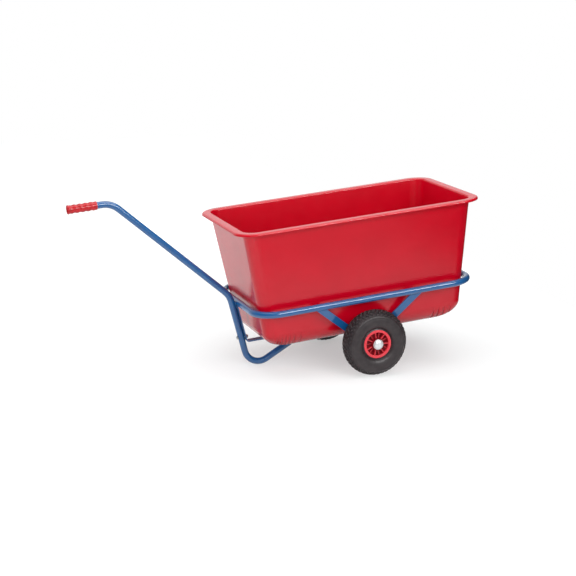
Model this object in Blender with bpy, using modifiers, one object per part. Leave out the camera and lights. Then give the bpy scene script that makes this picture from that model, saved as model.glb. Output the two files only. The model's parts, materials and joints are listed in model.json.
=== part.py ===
"""Two-wheeled hand cart: a lift-out plastic tub carried by a bent-tube frame.

The cart is modelled level in its own frame, whose origin is the middle of the axle, with +X
towards the nose, +Y towards the far side and +Z up. An empty then tilts it back onto its foot
and sets it on the floor, with the origin under the middle of its bounding box.
"""
import math

import bmesh
import bpy
from mathutils import Matrix, Vector

# Clearances
GAP = 0.0003
RUNNING_CLEARANCE = 0.0002

# Stance
PARKED_TILT = math.radians(5.8)

# Tub
TUB_OPENING_LENGTH = 0.928
TUB_OPENING_WIDTH = 0.498
TUB_RIM_HEIGHT = 0.500
TUB_SETBACK = 0.0035
TUB_WALL = 0.004
TUB_FLANGE_WIDTH = 0.037
TUB_LIP_DROP = 0.009
TUB_LIP_ROUNDING = 0.003
TUB_RIM_ROUNDING = 0.006
TUB_CORNER_RADIUS = 0.050
TUB_FOOT_CORNER_RADIUS = 0.040
TUB_FLOOR_CORNER_RADIUS = 0.030
TUB_END_TAPER = 0.13
TUB_SIDE_TAPER = 0.10
TUB_END_SWEEP = 0.100
TUB_SIDE_SWEEP = 0.070
TUB_SWEEP_HEIGHT = 0.070

# Tube frame
TUBE_RADIUS = 0.013
TUBE_BORE_RADIUS = 0.011
RING_HEIGHT = 0.174
RING_END_PLAY = 0.0095
RING_SIDE_PLAY = 0.0285
RING_CORNER_RADIUS = 0.095
RING_DRAIN_RADIUS = 0.003
RING_DRAIN_FROM_CORNER = 0.112

# Drawbar, leg and foot loop
GRIP_HEIGHT = 0.639
DRAWBAR_SLOPE = math.radians(45.5)
DRAWBAR_BEND_RADIUS = 0.085
LEG_BEND_ABOVE_RING = 0.033
LEG_BEND_RADIUS = 0.085
LEG_LEAN = math.radians(10.0)
FOOT_BEND_RADIUS = 0.060
FOOT_TAIL_RISE = math.radians(25.5)
FOOT_TAIL_LENGTH = 0.112
PLUG_CAP_THICKNESS = 0.0025
PLUG_STEM_LENGTH = 0.014

# Grip
GRIP_LENGTH = 0.112
GRIP_REACH = 0.1645
GRIP_RADIUS = 0.0160
GRIP_WAVE_DEPTH = 0.0007
GRIP_WAVES = 4
GRIP_FLARE_RADIUS = 0.0175
GRIP_FLARE_LENGTH = 0.006
GRIP_END_THICKNESS = 0.004
GRIP_CHAMFER = 0.002
GRIP_STEPS_PER_WAVE = 3

# Flat bars
BAR_WIDTH = 0.030
BAR_THICKNESS = 0.005
STRUT_WIDTH = 0.028
STRUT_RUN_LENGTH = 0.212
STRUT_CROSSING_DROP = 0.0225
STRUT_LUG_LENGTH = 0.034
STRUT_FOOT_LENGTH = 0.020
STRUT_TYRE_CLEARANCE = 0.022
STRAP_BEND_RADIUS = 0.012
STRAP_END_LEAN = math.radians(6.0)

# Bolt through the leg
BOLT_RADIUS = 0.004
BOLT_HEIGHT = 0.032
BOLT_HEAD_RADIUS = 0.0075
BOLT_HEAD_HEIGHT = 0.0045
BOLT_HEAD_TOP_RADIUS = 0.0045
BOLT_HEAD_TOP_DROP = 0.0007
BOLT_HEAD_EDGE_HEIGHT = 0.0011
NUT_HEIGHT = 0.0065
NUT_RADIUS = 0.0075
BOLT_END_LENGTH = 0.0015

# Axle line
AXLE_RADIUS = 0.010
HUB_LENGTH = 0.075
HUB_RADIUS = 0.022
HUB_WASHER_RADIUS = 0.017
HUB_WASHER_THICKNESS = 0.002
SPACER_RADIUS = 0.014
AXLE_PROUD = 0.006
CAP_RADIUS = 0.0203
CAP_HEIGHT = 0.0105
CAP_SHEET = 0.0012
CAP_STEPS = 4

# Tyre and inner tube
WHEEL_RADIUS = 0.130
TYRE_WIDTH = 0.085
TYRE_TUB_CLEARANCE = 0.0154
TYRE_BELT_RADIUS = 0.091
TYRE_WALL = 0.0065
TYRE_TREAD_WALL = 0.008
TYRE_STEPS = 10
LINER_STEPS = 6
BEAD_SEAT_RADIUS = 0.0508
BEAD_WIDTH = 0.011
INNER_TUBE_WALL = 0.0018

# Rim halves
RIM_FLANGE_RADIUS = 0.0560
RIM_FLANGE_FACE = 0.034
RIM_FLANGE_THICKNESS = 0.003
RIM_BARREL_RADIUS = 0.046
OUTER_WEB_FLOOR = 0.008
INNER_WEB_FLOOR = 0.002
RIM_WEB_THICKNESS = 0.004
RIB_COUNT = 7
RIB_THICKNESS = 0.0032
RIB_DROP = 0.0025
SMALL_RIB_DROP = 0.010
RIM_SCREWS = 5
RIM_SCREW_CIRCLE = 0.034
RIM_SCREW_RADIUS = 0.003
RIM_SCREW_HEAD_RADIUS = 0.0055
RIM_SCREW_HEAD_HEIGHT = 0.004
RIM_BOSS_RADIUS = 0.0065
RIM_SCREW_TIP_ROOM = 0.0009

# Roller bearing
ROLLER_RADIUS = 0.0025
ROLLER_LENGTH = 0.058
ROLLER_COUNT = 6
CAGE_LENGTH = 0.068

# Valve
VALVE_RADIUS = 0.003
VALVE_PLANE = 0.013
VALVE_TIP_RADIUS = 0.031
VALVE_CAP_RADIUS = 0.004
VALVE_CAP_LENGTH = 0.008

# Facets
WHEEL_STEPS = 24
SMALL_STEPS = 12
ROLLER_STEPS = 8
TUBE_RESOLUTION = 4
TUBE_SIDES = 4 + 2 * TUBE_RESOLUTION
CORNER_STEPS = 5
SWEEP_STEPS = 5
LIP_STEPS = 2
RIM_STEPS = 3
MERGE_DISTANCE = 0.00001

# Heights and places that follow from the sizes above
STRAP_HEIGHT = AXLE_RADIUS + GAP + BAR_THICKNESS / 2
TUB_BASE_HEIGHT = STRAP_HEIGHT + BAR_THICKNESS / 2 + GAP
TUB_FLOOR_DEPTH = TUB_RIM_HEIGHT - TUB_BASE_HEIGHT - TUB_WALL
RING_DEPTH = TUB_RIM_HEIGHT - RING_HEIGHT
RING_HALF_LENGTH = (TUB_OPENING_LENGTH / 2 + TUB_WALL - TUB_END_TAPER * RING_DEPTH
                    + RING_END_PLAY + TUBE_RADIUS)
RING_HALF_WIDTH = (TUB_OPENING_WIDTH / 2 + TUB_WALL - TUB_SIDE_TAPER * RING_DEPTH
                   + RING_SIDE_PLAY + TUBE_RADIUS)
RING_REAR = -TUB_SETBACK - RING_HALF_LENGTH
RING_FRONT = -TUB_SETBACK + RING_HALF_LENGTH
TUB_SIDE_AT_TYRE = (TUB_OPENING_WIDTH / 2 + TUB_WALL
                    - TUB_SIDE_TAPER * (TUB_RIM_HEIGHT - TYRE_BELT_RADIUS))
WHEEL_TRACK = 2 * (TUB_SIDE_AT_TYRE + TYRE_TUB_CLEARANCE) + TYRE_WIDTH
LEG_AT_RING = RING_REAR - (2 * TUBE_RADIUS + GAP) / math.cos(LEG_LEAN)
BORE_RADIUS = AXLE_RADIUS + 2 * (RUNNING_CLEARANCE + ROLLER_RADIUS) + RUNNING_CLEARANCE
HUB_FACE = WHEEL_TRACK / 2 - HUB_LENGTH / 2
BEAD_OUTSIDE = RIM_FLANGE_FACE - RIM_FLANGE_THICKNESS - GAP
BEAD_INSIDE = BEAD_OUTSIDE - BEAD_WIDTH
LUG_FACE = WHEEL_TRACK / 2 - TYRE_WIDTH / 2 - STRUT_TYRE_CLEARANCE

PAINT_BLUE = (0.030, 0.105, 0.265)
TUB_RED = (0.560, 0.022, 0.035)
PLASTIC_RED = (0.620, 0.040, 0.045)
RUBBER_BLACK = (0.030, 0.028, 0.029)
PLASTIC_BLACK = (0.012, 0.012, 0.014)
ZINC_GREY = (0.620, 0.630, 0.640)
STEEL_GREY = (0.420, 0.420, 0.430)
BRASS_YELLOW = (0.680, 0.480, 0.180)


def clear_scene():
    for leftover in list(bpy.data.objects):
        bpy.data.objects.remove(leftover, do_unlink=True)


def new_collection(name):
    collection = bpy.data.collections.new(name)
    bpy.context.scene.collection.children.link(collection)
    return collection


def new_material(name, colour, roughness, metallic=0.0):
    material = bpy.data.materials.new(name)
    material.use_nodes = True
    shader = material.node_tree.nodes["Principled BSDF"]
    shader.inputs["Base Color"].default_value = (*colour, 1.0)
    shader.inputs["Roughness"].default_value = roughness
    shader.inputs["Metallic"].default_value = metallic
    return material


def new_empty(name, parent=None, location=(0, 0, 0), rotation=(0, 0, 0)):
    empty = bpy.data.objects.new(name, None)
    empty.empty_display_size = 0.05
    empty.location = location
    empty.rotation_euler = rotation
    empty.parent = parent
    parts.objects.link(empty)
    return empty


def add_object(name, mesh, material, parent, smooth_angle=math.radians(35)):
    """Puts a mesh in the parts collection under its parent, shaded smooth up to an angle."""
    if material:
        mesh.materials.append(material)
    mesh.shade_smooth()
    mesh.set_sharp_from_angle(angle=smooth_angle)
    item = bpy.data.objects.new(name, mesh)
    item.parent = parent
    parts.objects.link(item)
    return item


def bmesh_to_mesh(name, bm):
    mesh = bpy.data.meshes.new(name)
    bm.normal_update()
    bmesh.ops.recalc_face_normals(bm, faces=bm.faces)
    bm.to_mesh(mesh)
    bm.free()
    return mesh


def make_cutter(item):
    """Takes an object out of the parts and keeps it as a hidden boolean tool."""
    parts.objects.unlink(item)
    cutters.objects.link(item)
    item.hide_render = True
    item.display_type = 'WIRE'
    return item


def boolean(item, tool, operation='DIFFERENCE'):
    modifier = item.modifiers.new(operation.title(), 'BOOLEAN')
    modifier.operation = operation
    modifier.object = tool
    modifier.solver = 'EXACT'


def evaluated_mesh(item):
    """A copy of what an object looks like after its modifiers or curve bevel."""
    bpy.context.view_layer.update()
    graph = bpy.context.evaluated_depsgraph_get()
    return bpy.data.meshes.new_from_object(item.evaluated_get(graph))


def cylinder_mesh(name, start, end, radius, steps):
    """A capped cylinder between two points."""
    start, end = Vector(start), Vector(end)
    bm = bmesh.new()
    bmesh.ops.create_cone(bm, cap_ends=True, segments=steps, radius1=radius, radius2=radius,
                          depth=(end - start).length)
    turn = Vector((0, 0, 1)).rotation_difference(end - start).to_matrix().to_4x4()
    bm.transform(Matrix.Translation((start + end) / 2) @ turn)
    return bmesh_to_mesh(name, bm)


def rod_along(name, start, end, radius, steps, material, parent):
    mesh = cylinder_mesh(name, start, end, radius, steps)
    return add_object(name, mesh, material, parent)


def box(name, low, high, parent):
    """A box between two opposite corners."""
    low, high = Vector(low), Vector(high)
    size = high - low
    bm = bmesh.new()
    place = Matrix.Translation((low + high) / 2) @ Matrix.Diagonal((*size, 1))
    bmesh.ops.create_cube(bm, size=1, matrix=place)
    return add_object(name, bmesh_to_mesh(name, bm), None, parent)


def round_copies(name, mesh, angles, material, parent):
    """One object for each angle about Z, which all share a mesh."""
    mesh.materials.append(material)
    for number, angle in enumerate(angles, start=1):
        item = bpy.data.objects.new(f"{name}_{number}", mesh)
        item.rotation_euler.z = angle
        item.parent = parent
        parts.objects.link(item)


def round_cutter(name, mesh, angles, parent):
    """Copies of one closed mesh turned about Z, as one cutter of separate bodies."""
    bm = bmesh.new()
    for angle in angles:
        turned_copy = mesh.copy()
        turned_copy.transform(Matrix.Rotation(angle, 4, 'Z'))
        bm.from_mesh(turned_copy)
        bpy.data.meshes.remove(turned_copy)
    return make_cutter(add_object(name, bmesh_to_mesh(name, bm), None, parent))


def turned(name, profile, steps, material, parent, closed=True):
    """Turns an (r, z) profile about Z. The profile runs down its outer side."""
    mesh = bpy.data.meshes.new(name)
    points = [(r, 0, z) for r, z in profile]
    edges = [(i, i + 1) for i in range(len(points) - 1)]
    if closed:
        edges.append((len(points) - 1, 0))
    mesh.from_pydata(points, edges, [])
    item = add_object(name, mesh, material, parent)
    screw = item.modifiers.new("Turn", 'SCREW')
    screw.steps = steps
    screw.render_steps = steps
    screw.use_merge_vertices = True
    screw.merge_threshold = MERGE_DISTANCE
    screw.use_smooth_shade = True
    return item


def tube(x_low, x_high, inner, outer):
    """The closed (r, z) profile of a plain sleeve."""
    return [(inner, x_high), (outer, x_high), (outer, x_low), (inner, x_low)]


def bend_points(corners, radii, degrees_per_step=15):
    """Rounds the inner corners of a polyline with arcs of the given radii."""
    points = [Vector(corners[0])]
    for before, corner, after, radius in zip(corners, corners[1:], corners[2:], radii):
        corner = Vector(corner)
        back = (Vector(before) - corner).normalized()
        ahead = (Vector(after) - corner).normalized()
        turn = math.pi - back.angle(ahead)
        tangent = radius * math.tan(turn / 2)
        centre = corner + (back + ahead).normalized() * radius / math.cos(turn / 2)
        axis = back.cross(ahead).normalized()
        spoke = corner + back * tangent - centre
        steps = max(2, round(math.degrees(turn) / degrees_per_step))
        for step in range(steps + 1):
            points.append(centre + Matrix.Rotation(-turn * step / steps, 3, axis) @ spoke)
    points.append(Vector(corners[-1]))
    return points


def swept_tube(name, points, radius, cyclic, material, parent):
    """An open or endless tube surface of one radius along a path, as a mesh object."""
    curve = bpy.data.curves.new(name, 'CURVE')
    curve.dimensions = '3D'
    curve.bevel_depth = radius
    curve.bevel_resolution = TUBE_RESOLUTION
    spline = curve.splines.new('POLY')
    spline.points.add(len(points) - 1)
    for control, point in zip(spline.points, points):
        control.co = (*point, 1)
    spline.use_cyclic_u = cyclic
    path = bpy.data.objects.new(name, curve)
    parts.objects.link(path)
    mesh = evaluated_mesh(path)
    bpy.data.objects.remove(path)
    mesh.materials.clear()
    return add_object(name, mesh, material, parent, smooth_angle=math.radians(50))


def ring_path(half_length, half_width, corner_radius, steps, centre_x=0.0, z=0.0):
    """Points of a rectangle with round corners, anticlockwise from its +X +Y corner."""
    points = []
    for index, (sx, sy) in enumerate([(1, 1), (-1, 1), (-1, -1), (1, -1)]):
        centre = Vector((centre_x + sx * (half_length - corner_radius),
                         sy * (half_width - corner_radius), z))
        for step in range(steps + 1):
            angle = math.pi / 2 * (index + step / steps)
            points.append(centre + corner_radius * Vector((math.cos(angle), math.sin(angle), 0)))
    return points


def flat_bar(name, path, thickness, width, material, parent):
    """A bar bent flatwise along a path in XZ, its width centred on Y."""
    left, right = [], []
    for index, point in enumerate(path):
        before = path[max(index - 1, 0)]
        after = path[min(index + 1, len(path) - 1)]
        along = (after - before).normalized()
        across = Vector((-along.z, 0, along.x))
        stretch = 1.0
        if 0 < index < len(path) - 1:
            half_turn = (point - before).angle(after - point) / 2
            stretch = 1 / math.cos(half_turn)
            bisector = ((point - before).normalized() + (after - point).normalized()).normalized()
            across = Vector((-bisector.z, 0, bisector.x))
        left.append(point + across * thickness / 2 * stretch)
        right.append(point - across * thickness / 2 * stretch)
    curve = bpy.data.curves.new(name, 'CURVE')
    curve.dimensions = '2D'
    curve.fill_mode = 'BOTH'
    curve.extrude = width / 2
    spline = curve.splines.new('POLY')
    outline = left + right[::-1]
    spline.points.add(len(outline) - 1)
    for control, point in zip(spline.points, outline):
        control.co = (point.x, point.z, 0, 1)
    spline.use_cyclic_u = True
    path_object = bpy.data.objects.new(name, curve)
    parts.objects.link(path_object)
    mesh = evaluated_mesh(path_object)
    bpy.data.objects.remove(path_object)
    mesh.materials.clear()
    bm = bmesh.new()
    bm.from_mesh(mesh)
    bmesh.ops.remove_doubles(bm, verts=bm.verts, dist=MERGE_DISTANCE)
    bm.transform(Matrix.Rotation(math.pi / 2, 4, 'X'))
    return add_object(name, bmesh_to_mesh(name, bm), material, parent, math.radians(25))


def build_tub(parent):
    """One moulded shell: lip, flange, rolled rim, tapered walls, swept bottom and flat floor."""
    half_length = TUB_OPENING_LENGTH / 2
    half_width = TUB_OPENING_WIDTH / 2
    flange_radius = TUB_CORNER_RADIUS + TUB_FLANGE_WIDTH
    sections = []

    def add_section(outset, radius, depth):
        sections.append((half_length + outset, half_width + outset, radius, depth))

    add_section(TUB_FLANGE_WIDTH, flange_radius, TUB_LIP_DROP)
    for step in range(LIP_STEPS + 1):
        angle = math.pi / 2 * step / LIP_STEPS
        inset = TUB_LIP_ROUNDING * (1 - math.cos(angle))
        drop = TUB_LIP_ROUNDING * (1 - math.sin(angle))
        add_section(TUB_FLANGE_WIDTH - inset, flange_radius - inset, drop)
    for step in range(RIM_STEPS + 1):
        angle = math.pi / 2 * step / RIM_STEPS
        outset = TUB_RIM_ROUNDING * (1 - math.sin(angle))
        drop = TUB_RIM_ROUNDING * (1 - math.cos(angle))
        add_section(outset, TUB_CORNER_RADIUS + outset, drop)

    # The inside of the wall is this far in at the top of the sweep, and curves in to the floor.
    wall_foot = TUB_FLOOR_DEPTH - TUB_SWEEP_HEIGHT
    for step in range(SWEEP_STEPS + 1):
        angle = math.pi / 2 * step / SWEEP_STEPS
        depth = wall_foot + TUB_SWEEP_HEIGHT * math.sin(angle)
        inward = 1 - math.cos(angle)
        length = half_length - TUB_END_TAPER * wall_foot - TUB_END_SWEEP * inward
        width = half_width - TUB_SIDE_TAPER * wall_foot - TUB_SIDE_SWEEP * inward
        radius = (TUB_FOOT_CORNER_RADIUS
                  + (TUB_FLOOR_CORNER_RADIUS - TUB_FOOT_CORNER_RADIUS) * inward)
        sections.append((length, width, radius, depth))

    bm = bmesh.new()
    loops = []
    for length, width, radius, depth in sections:
        points = ring_path(length, width, radius, CORNER_STEPS, z=-depth)
        verts = [bm.verts.new(point) for point in points]
        loops.append([bm.edges.new((a, b)) for a, b in zip(verts, verts[1:] + verts[:1])])
    for upper, lower in zip(loops, loops[1:]):
        bmesh.ops.bridge_loops(bm, edges=upper + lower)
    bmesh.ops.contextual_create(bm, geom=loops[-1])
    mesh = bpy.data.meshes.new("tub")
    bmesh.ops.recalc_face_normals(bm, faces=bm.faces)
    bm.normal_update()
    if sum(face.normal.z * face.calc_area() for face in bm.faces) < 0:
        bmesh.ops.reverse_faces(bm, faces=bm.faces)
    bm.to_mesh(mesh)
    bm.free()
    tub = add_object("tub", mesh, tub_plastic, parent, math.radians(40))
    shell = tub.modifiers.new("Wall", 'SOLIDIFY')
    shell.thickness = TUB_WALL
    shell.offset = -1
    shell.use_even_offset = True
    return tub


def hollow(item):
    """Gives an open tube surface its wall."""
    shell = item.modifiers.new("Wall", 'SOLIDIFY')
    shell.thickness = TUBE_RADIUS - TUBE_BORE_RADIUS
    shell.offset = -1
    shell.use_even_offset = True


def build_ring(parent):
    """The closed tube loop, with a drain hole underneath that opens its bore."""
    points = ring_path(RING_HALF_LENGTH, RING_HALF_WIDTH, RING_CORNER_RADIUS, CORNER_STEPS,
                       centre_x=-TUB_SETBACK, z=RING_HEIGHT)
    ring = swept_tube("frame_ring", points, TUBE_RADIUS, True, frame_paint, parent)
    hollow(ring)
    hole_x = RING_FRONT - RING_CORNER_RADIUS - RING_DRAIN_FROM_CORNER
    drain = rod_along("ring_drain_cutter", (hole_x, RING_HALF_WIDTH, RING_HEIGHT),
                      (hole_x, RING_HALF_WIDTH, RING_HEIGHT - 2 * TUBE_RADIUS),
                      RING_DRAIN_RADIUS, SMALL_STEPS, None, parent)
    boolean(ring, make_cutter(drain))


def leg_x(z):
    """Where the leg's centre line is at a height."""
    return LEG_AT_RING + math.tan(LEG_LEAN) * (RING_HEIGHT - z)


def foot_centre():
    """The middle of the foot bend, placed so that the tilted cart stands on its underside."""
    normal = Vector((math.cos(LEG_LEAN), 0, math.sin(LEG_LEAN))) * FOOT_BEND_RADIUS
    slope = math.tan(LEG_LEAN)
    reach = FOOT_BEND_RADIUS + TUBE_RADIUS - WHEEL_RADIUS
    tilt_sin, tilt_cos = math.sin(PARKED_TILT), math.cos(PARKED_TILT)
    level_part = (LEG_AT_RING + slope * RING_HEIGHT + normal.x) * tilt_sin
    height = (reach - level_part - normal.z * tilt_cos) / (tilt_cos - slope * tilt_sin)
    return Vector((leg_x(height), 0, height)) + normal


def handle_corners():
    """The corners of the drawbar, leg and foot tube before bending, and the bend radii."""
    leg_top = RING_HEIGHT + LEG_BEND_ABOVE_RING
    lower = Vector((leg_x(leg_top), 0, leg_top))
    run = (GRIP_HEIGHT - leg_top) / math.tan(DRAWBAR_SLOPE)
    upper = Vector((lower.x - run, 0, GRIP_HEIGHT))
    start = Vector((upper.x - GRIP_REACH, 0, GRIP_HEIGHT))
    centre = foot_centre()
    leg_down = Vector((math.sin(LEG_LEAN), 0, -math.cos(LEG_LEAN)))
    tail_up = Vector((math.cos(FOOT_TAIL_RISE), 0, math.sin(FOOT_TAIL_RISE)))
    half_turn = leg_down.angle(tail_up) / 2
    outward = (leg_down - tail_up).normalized()
    foot = centre + outward * FOOT_BEND_RADIUS / math.cos(half_turn)
    tail = foot + tail_up * (FOOT_BEND_RADIUS * math.tan(half_turn) + FOOT_TAIL_LENGTH)
    radii = [DRAWBAR_BEND_RADIUS, LEG_BEND_RADIUS, FOOT_BEND_RADIUS]
    return [start, upper, lower, foot, tail], radii


def build_handle(parent):
    """Drawbar, leg and foot loop in one bent tube, with its end plug, grip and leg bolt."""
    corners, radii = handle_corners()
    handle = swept_tube("handle_tube", bend_points(corners, radii), TUBE_RADIUS, False,
                        frame_paint, parent)
    hollow(handle)

    bolt_x = leg_x(BOLT_HEIGHT)
    wall_reach = TUBE_RADIUS / math.cos(LEG_LEAN)
    strap_reach = wall_reach + (GAP + BAR_THICKNESS) / math.cos(LEG_LEAN)
    lean = math.tan(LEG_LEAN)
    head_seat = bolt_x - wall_reach - lean * BOLT_HEAD_RADIUS - GAP
    nut_seat = bolt_x + strap_reach + lean * NUT_RADIUS + GAP
    hole = rod_along("bolt_hole_cutter", (head_seat - BAR_WIDTH, 0, BOLT_HEIGHT),
                     (nut_seat + BAR_WIDTH, 0, BOLT_HEIGHT), BOLT_RADIUS + GAP, SMALL_STEPS,
                     None, parent)
    boolean(handle, make_cutter(hole))

    shank_end = nut_seat + NUT_HEIGHT + BOLT_END_LENGTH
    head = [(0, BOLT_HEAD_HEIGHT), (BOLT_HEAD_TOP_RADIUS, BOLT_HEAD_HEIGHT - BOLT_HEAD_TOP_DROP),
            (BOLT_HEAD_RADIUS, BOLT_HEAD_EDGE_HEIGHT), (BOLT_HEAD_RADIUS, 0),
            (BOLT_RADIUS, 0), (BOLT_RADIUS, head_seat - shank_end), (0, head_seat - shank_end)]
    bolt = turned("leg_bolt", head, SMALL_STEPS, zinc, parent, closed=False)
    bolt.location = (head_seat, 0, BOLT_HEIGHT)
    bolt.rotation_euler = (0, -math.pi / 2, 0)

    nut = rod_along("leg_nut", (nut_seat, 0, BOLT_HEIGHT), (nut_seat + NUT_HEIGHT, 0, BOLT_HEIGHT),
                    NUT_RADIUS, 6, zinc, parent)
    thread = rod_along("nut_thread_cutter", (nut_seat - NUT_HEIGHT, 0, BOLT_HEIGHT),
                       (nut_seat + 2 * NUT_HEIGHT, 0, BOLT_HEIGHT), BOLT_RADIUS + GAP / 2,
                       SMALL_STEPS, None, parent)
    boolean(nut, make_cutter(thread))

    build_foot_plug(corners[-2], corners[-1], parent)
    build_grip(corners[0], parent)
    return hole


def build_foot_plug(foot, tail, parent):
    """A push-in plug: a cap over the tube's end and a stem in its bore."""
    tube_wall = TUBE_RADIUS - TUBE_BORE_RADIUS
    stem_radius = TUBE_RADIUS * math.cos(math.pi / TUBE_SIDES) - tube_wall - GAP
    cap_low = GAP
    cap_high = GAP + PLUG_CAP_THICKNESS
    profile = [(0, cap_high), (TUBE_RADIUS - PLUG_CAP_THICKNESS / 2, cap_high),
               (TUBE_RADIUS, cap_high - PLUG_CAP_THICKNESS / 2), (TUBE_RADIUS, cap_low),
               (stem_radius, cap_low), (stem_radius, -PLUG_STEM_LENGTH), (0, -PLUG_STEM_LENGTH)]
    plug = turned("foot_plug", profile, SMALL_STEPS, black_plastic, parent, closed=False)
    plug.location = tail
    plug.rotation_euler = Vector((0, 0, 1)).rotation_difference(tail - foot).to_euler()


def build_grip(tube_end, parent):
    """A moulded sleeve with finger waves, closed and flared at its outer end."""
    bore = TUBE_RADIUS + GAP
    low = GAP
    high = -GRIP_LENGTH + GRIP_END_THICKNESS
    length = low - high
    end = low + GRIP_END_THICKNESS
    profile = [(0, end), (GRIP_FLARE_RADIUS - GRIP_CHAMFER, end),
               (GRIP_FLARE_RADIUS, end - GRIP_CHAMFER),
               (GRIP_FLARE_RADIUS, end - GRIP_FLARE_LENGTH)]
    samples = GRIP_WAVES * GRIP_STEPS_PER_WAVE
    for index in range(1, samples):
        share = index / samples
        wave = GRIP_WAVE_DEPTH * math.cos(2 * math.pi * GRIP_WAVES * share)
        profile.append((GRIP_RADIUS + wave, low - length * share))
    profile += [(GRIP_RADIUS + GRIP_WAVE_DEPTH, high), (bore, high), (bore, low), (0, low)]
    grip = turned("grip", profile, WHEEL_STEPS, grip_plastic, parent, closed=False)
    grip.location = tube_end
    grip.rotation_euler = (0, -math.pi / 2, 0)


def build_strap(bolt_hole, parent):
    """The flat bar from the ring's rear, down the leg, under the tub and up to its front."""
    offset = (TUBE_RADIUS + GAP + BAR_THICKNESS / 2) / math.cos(LEG_LEAN)
    rear_top = Vector((leg_x(RING_HEIGHT) + offset, 0, RING_HEIGHT))
    rear_foot = Vector((leg_x(STRAP_HEIGHT) + offset, 0, STRAP_HEIGHT))
    front_rise = (RING_HEIGHT - STRAP_HEIGHT) * math.tan(STRAP_END_LEAN)
    front_top = Vector((RING_FRONT, 0, RING_HEIGHT))
    front_foot = Vector((RING_FRONT - front_rise, 0, STRAP_HEIGHT))
    path = bend_points([rear_top, rear_foot, front_foot, front_top],
                       [STRAP_BEND_RADIUS, STRAP_BEND_RADIUS], degrees_per_step=20)
    strap = flat_bar("cradle_strap", path, BAR_THICKNESS, BAR_WIDTH, frame_paint, parent)
    for name, x in (("rear", RING_REAR), ("front", RING_FRONT)):
        saddle = rod_along(f"strap_{name}_saddle_cutter", (x, -BAR_WIDTH, RING_HEIGHT),
                           (x, BAR_WIDTH, RING_HEIGHT), TUBE_RADIUS + GAP, WHEEL_STEPS,
                           None, parent)
        boolean(strap, make_cutter(saddle))
    boolean(strap, bolt_hole)


def build_strut(name, end, side, lug_face, parent):
    """A flat bar from the ring's underside down past the axle, which lies in a notch in it.

    end and side are -1 or 1. The middle lines of the front and rear struts cross under the axle.
    """
    lug_y = lug_face - BAR_THICKNESS / 2
    foot = Vector((0, 0, -STRUT_CROSSING_DROP))
    head = Vector((end * STRUT_RUN_LENGTH - TUB_SETBACK, 0, RING_HEIGHT))
    length = (head - foot).length
    path = bend_points([Vector((-STRUT_FOOT_LENGTH, 0, lug_y)),
                        Vector((STRUT_LUG_LENGTH, 0, lug_y)),
                        Vector((length, 0, RING_HALF_WIDTH))],
                       [STRAP_BEND_RADIUS], degrees_per_step=12)
    path[-1] += (path[-1] - path[-2]).normalized() * TUBE_RADIUS
    strut = flat_bar(name, path, BAR_THICKNESS, STRUT_WIDTH, frame_paint, parent)
    # The bar's own x runs up its slope and its own z outwards.
    slope = (head - foot).normalized()
    outward = Vector((0, side, 0))
    across = outward.cross(slope)
    strut.location = foot
    strut.rotation_euler = Matrix((slope, across, outward)).transposed().to_euler()

    y = side * RING_HALF_WIDTH
    saddle = rod_along(f"{name}_saddle_cutter", (head.x - 2 * STRUT_WIDTH, y, RING_HEIGHT),
                       (head.x + 2 * STRUT_WIDTH, y, RING_HEIGHT),
                       TUBE_RADIUS + GAP, WHEEL_STEPS, None, parent)
    boolean(strut, make_cutter(saddle))
    above = box(f"{name}_top_cutter", (head.x - 2 * STRUT_WIDTH, y - STRUT_WIDTH, RING_HEIGHT),
                (head.x + 2 * STRUT_WIDTH, y + STRUT_WIDTH, RING_HEIGHT + STRUT_WIDTH), parent)
    boolean(strut, make_cutter(above))
    notch = rod_along(f"{name}_notch_cutter", (0, 0, 0), (0, 2 * side * lug_face, 0),
                      AXLE_RADIUS + GAP, WHEEL_STEPS, None, parent)
    boolean(strut, make_cutter(notch))


def build_axle(parent):
    end = HUB_FACE + HUB_LENGTH + 2 * GAP + HUB_WASHER_THICKNESS + AXLE_PROUD
    rod_along("axle", (0, -end, 0), (0, end, 0), AXLE_RADIUS, WHEEL_STEPS, steel, parent)


def build_axle_stack(side_name, side, parent):
    """The still pieces on the axle beside one wheel, from the strut outwards."""
    turn = (-side * math.pi / 2, 0, 0)
    spacer = turned(f"spacer_{side_name}", tube(LUG_FACE + GAP, HUB_FACE - GAP,
                                                AXLE_RADIUS + GAP, SPACER_RADIUS),
                    WHEEL_STEPS, zinc, parent)
    spacer.rotation_euler = turn
    washer_low = HUB_FACE + HUB_LENGTH + GAP
    washer_high = washer_low + HUB_WASHER_THICKNESS
    washer = turned(f"hub_washer_{side_name}", tube(washer_low, washer_high,
                                                    AXLE_RADIUS + GAP, HUB_WASHER_RADIUS),
                    WHEEL_STEPS, zinc, parent)
    washer.rotation_euler = turn
    cap = turned(f"hub_cap_{side_name}", cap_profile(washer_high + GAP), WHEEL_STEPS, bright_zinc,
                 parent, closed=False)
    cap.rotation_euler = turn


def cap_profile(base):
    """A domed sheet cap with a flat washer bottom that grips the axle."""
    grip = AXLE_RADIUS + GAP
    outer, inner = [], []
    height = CAP_HEIGHT - CAP_SHEET
    for step in range(CAP_STEPS + 1):
        angle = math.pi / 2 * step / CAP_STEPS
        outer.append((CAP_RADIUS * math.sin(angle), base + CAP_SHEET + height * math.cos(angle)))
        inner.append(((CAP_RADIUS - CAP_SHEET) * math.sin(angle),
                      base + CAP_SHEET + (height - CAP_SHEET) * math.cos(angle)))
    return outer + [(CAP_RADIUS, base), (grip, base), (grip, base + CAP_SHEET)] + inner[::-1]


def oval(half_width, top, bottom, start, steps):
    """Points round the crown of an oval section, from one low side over the top to the other."""
    points = []
    for step in range(steps + 1):
        angle = start + (math.pi - 2 * start) * step / steps
        height = top if math.sin(angle) > 0 else bottom
        points.append((TYRE_BELT_RADIUS + height * math.sin(angle), half_width * math.cos(angle)))
    return points


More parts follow.
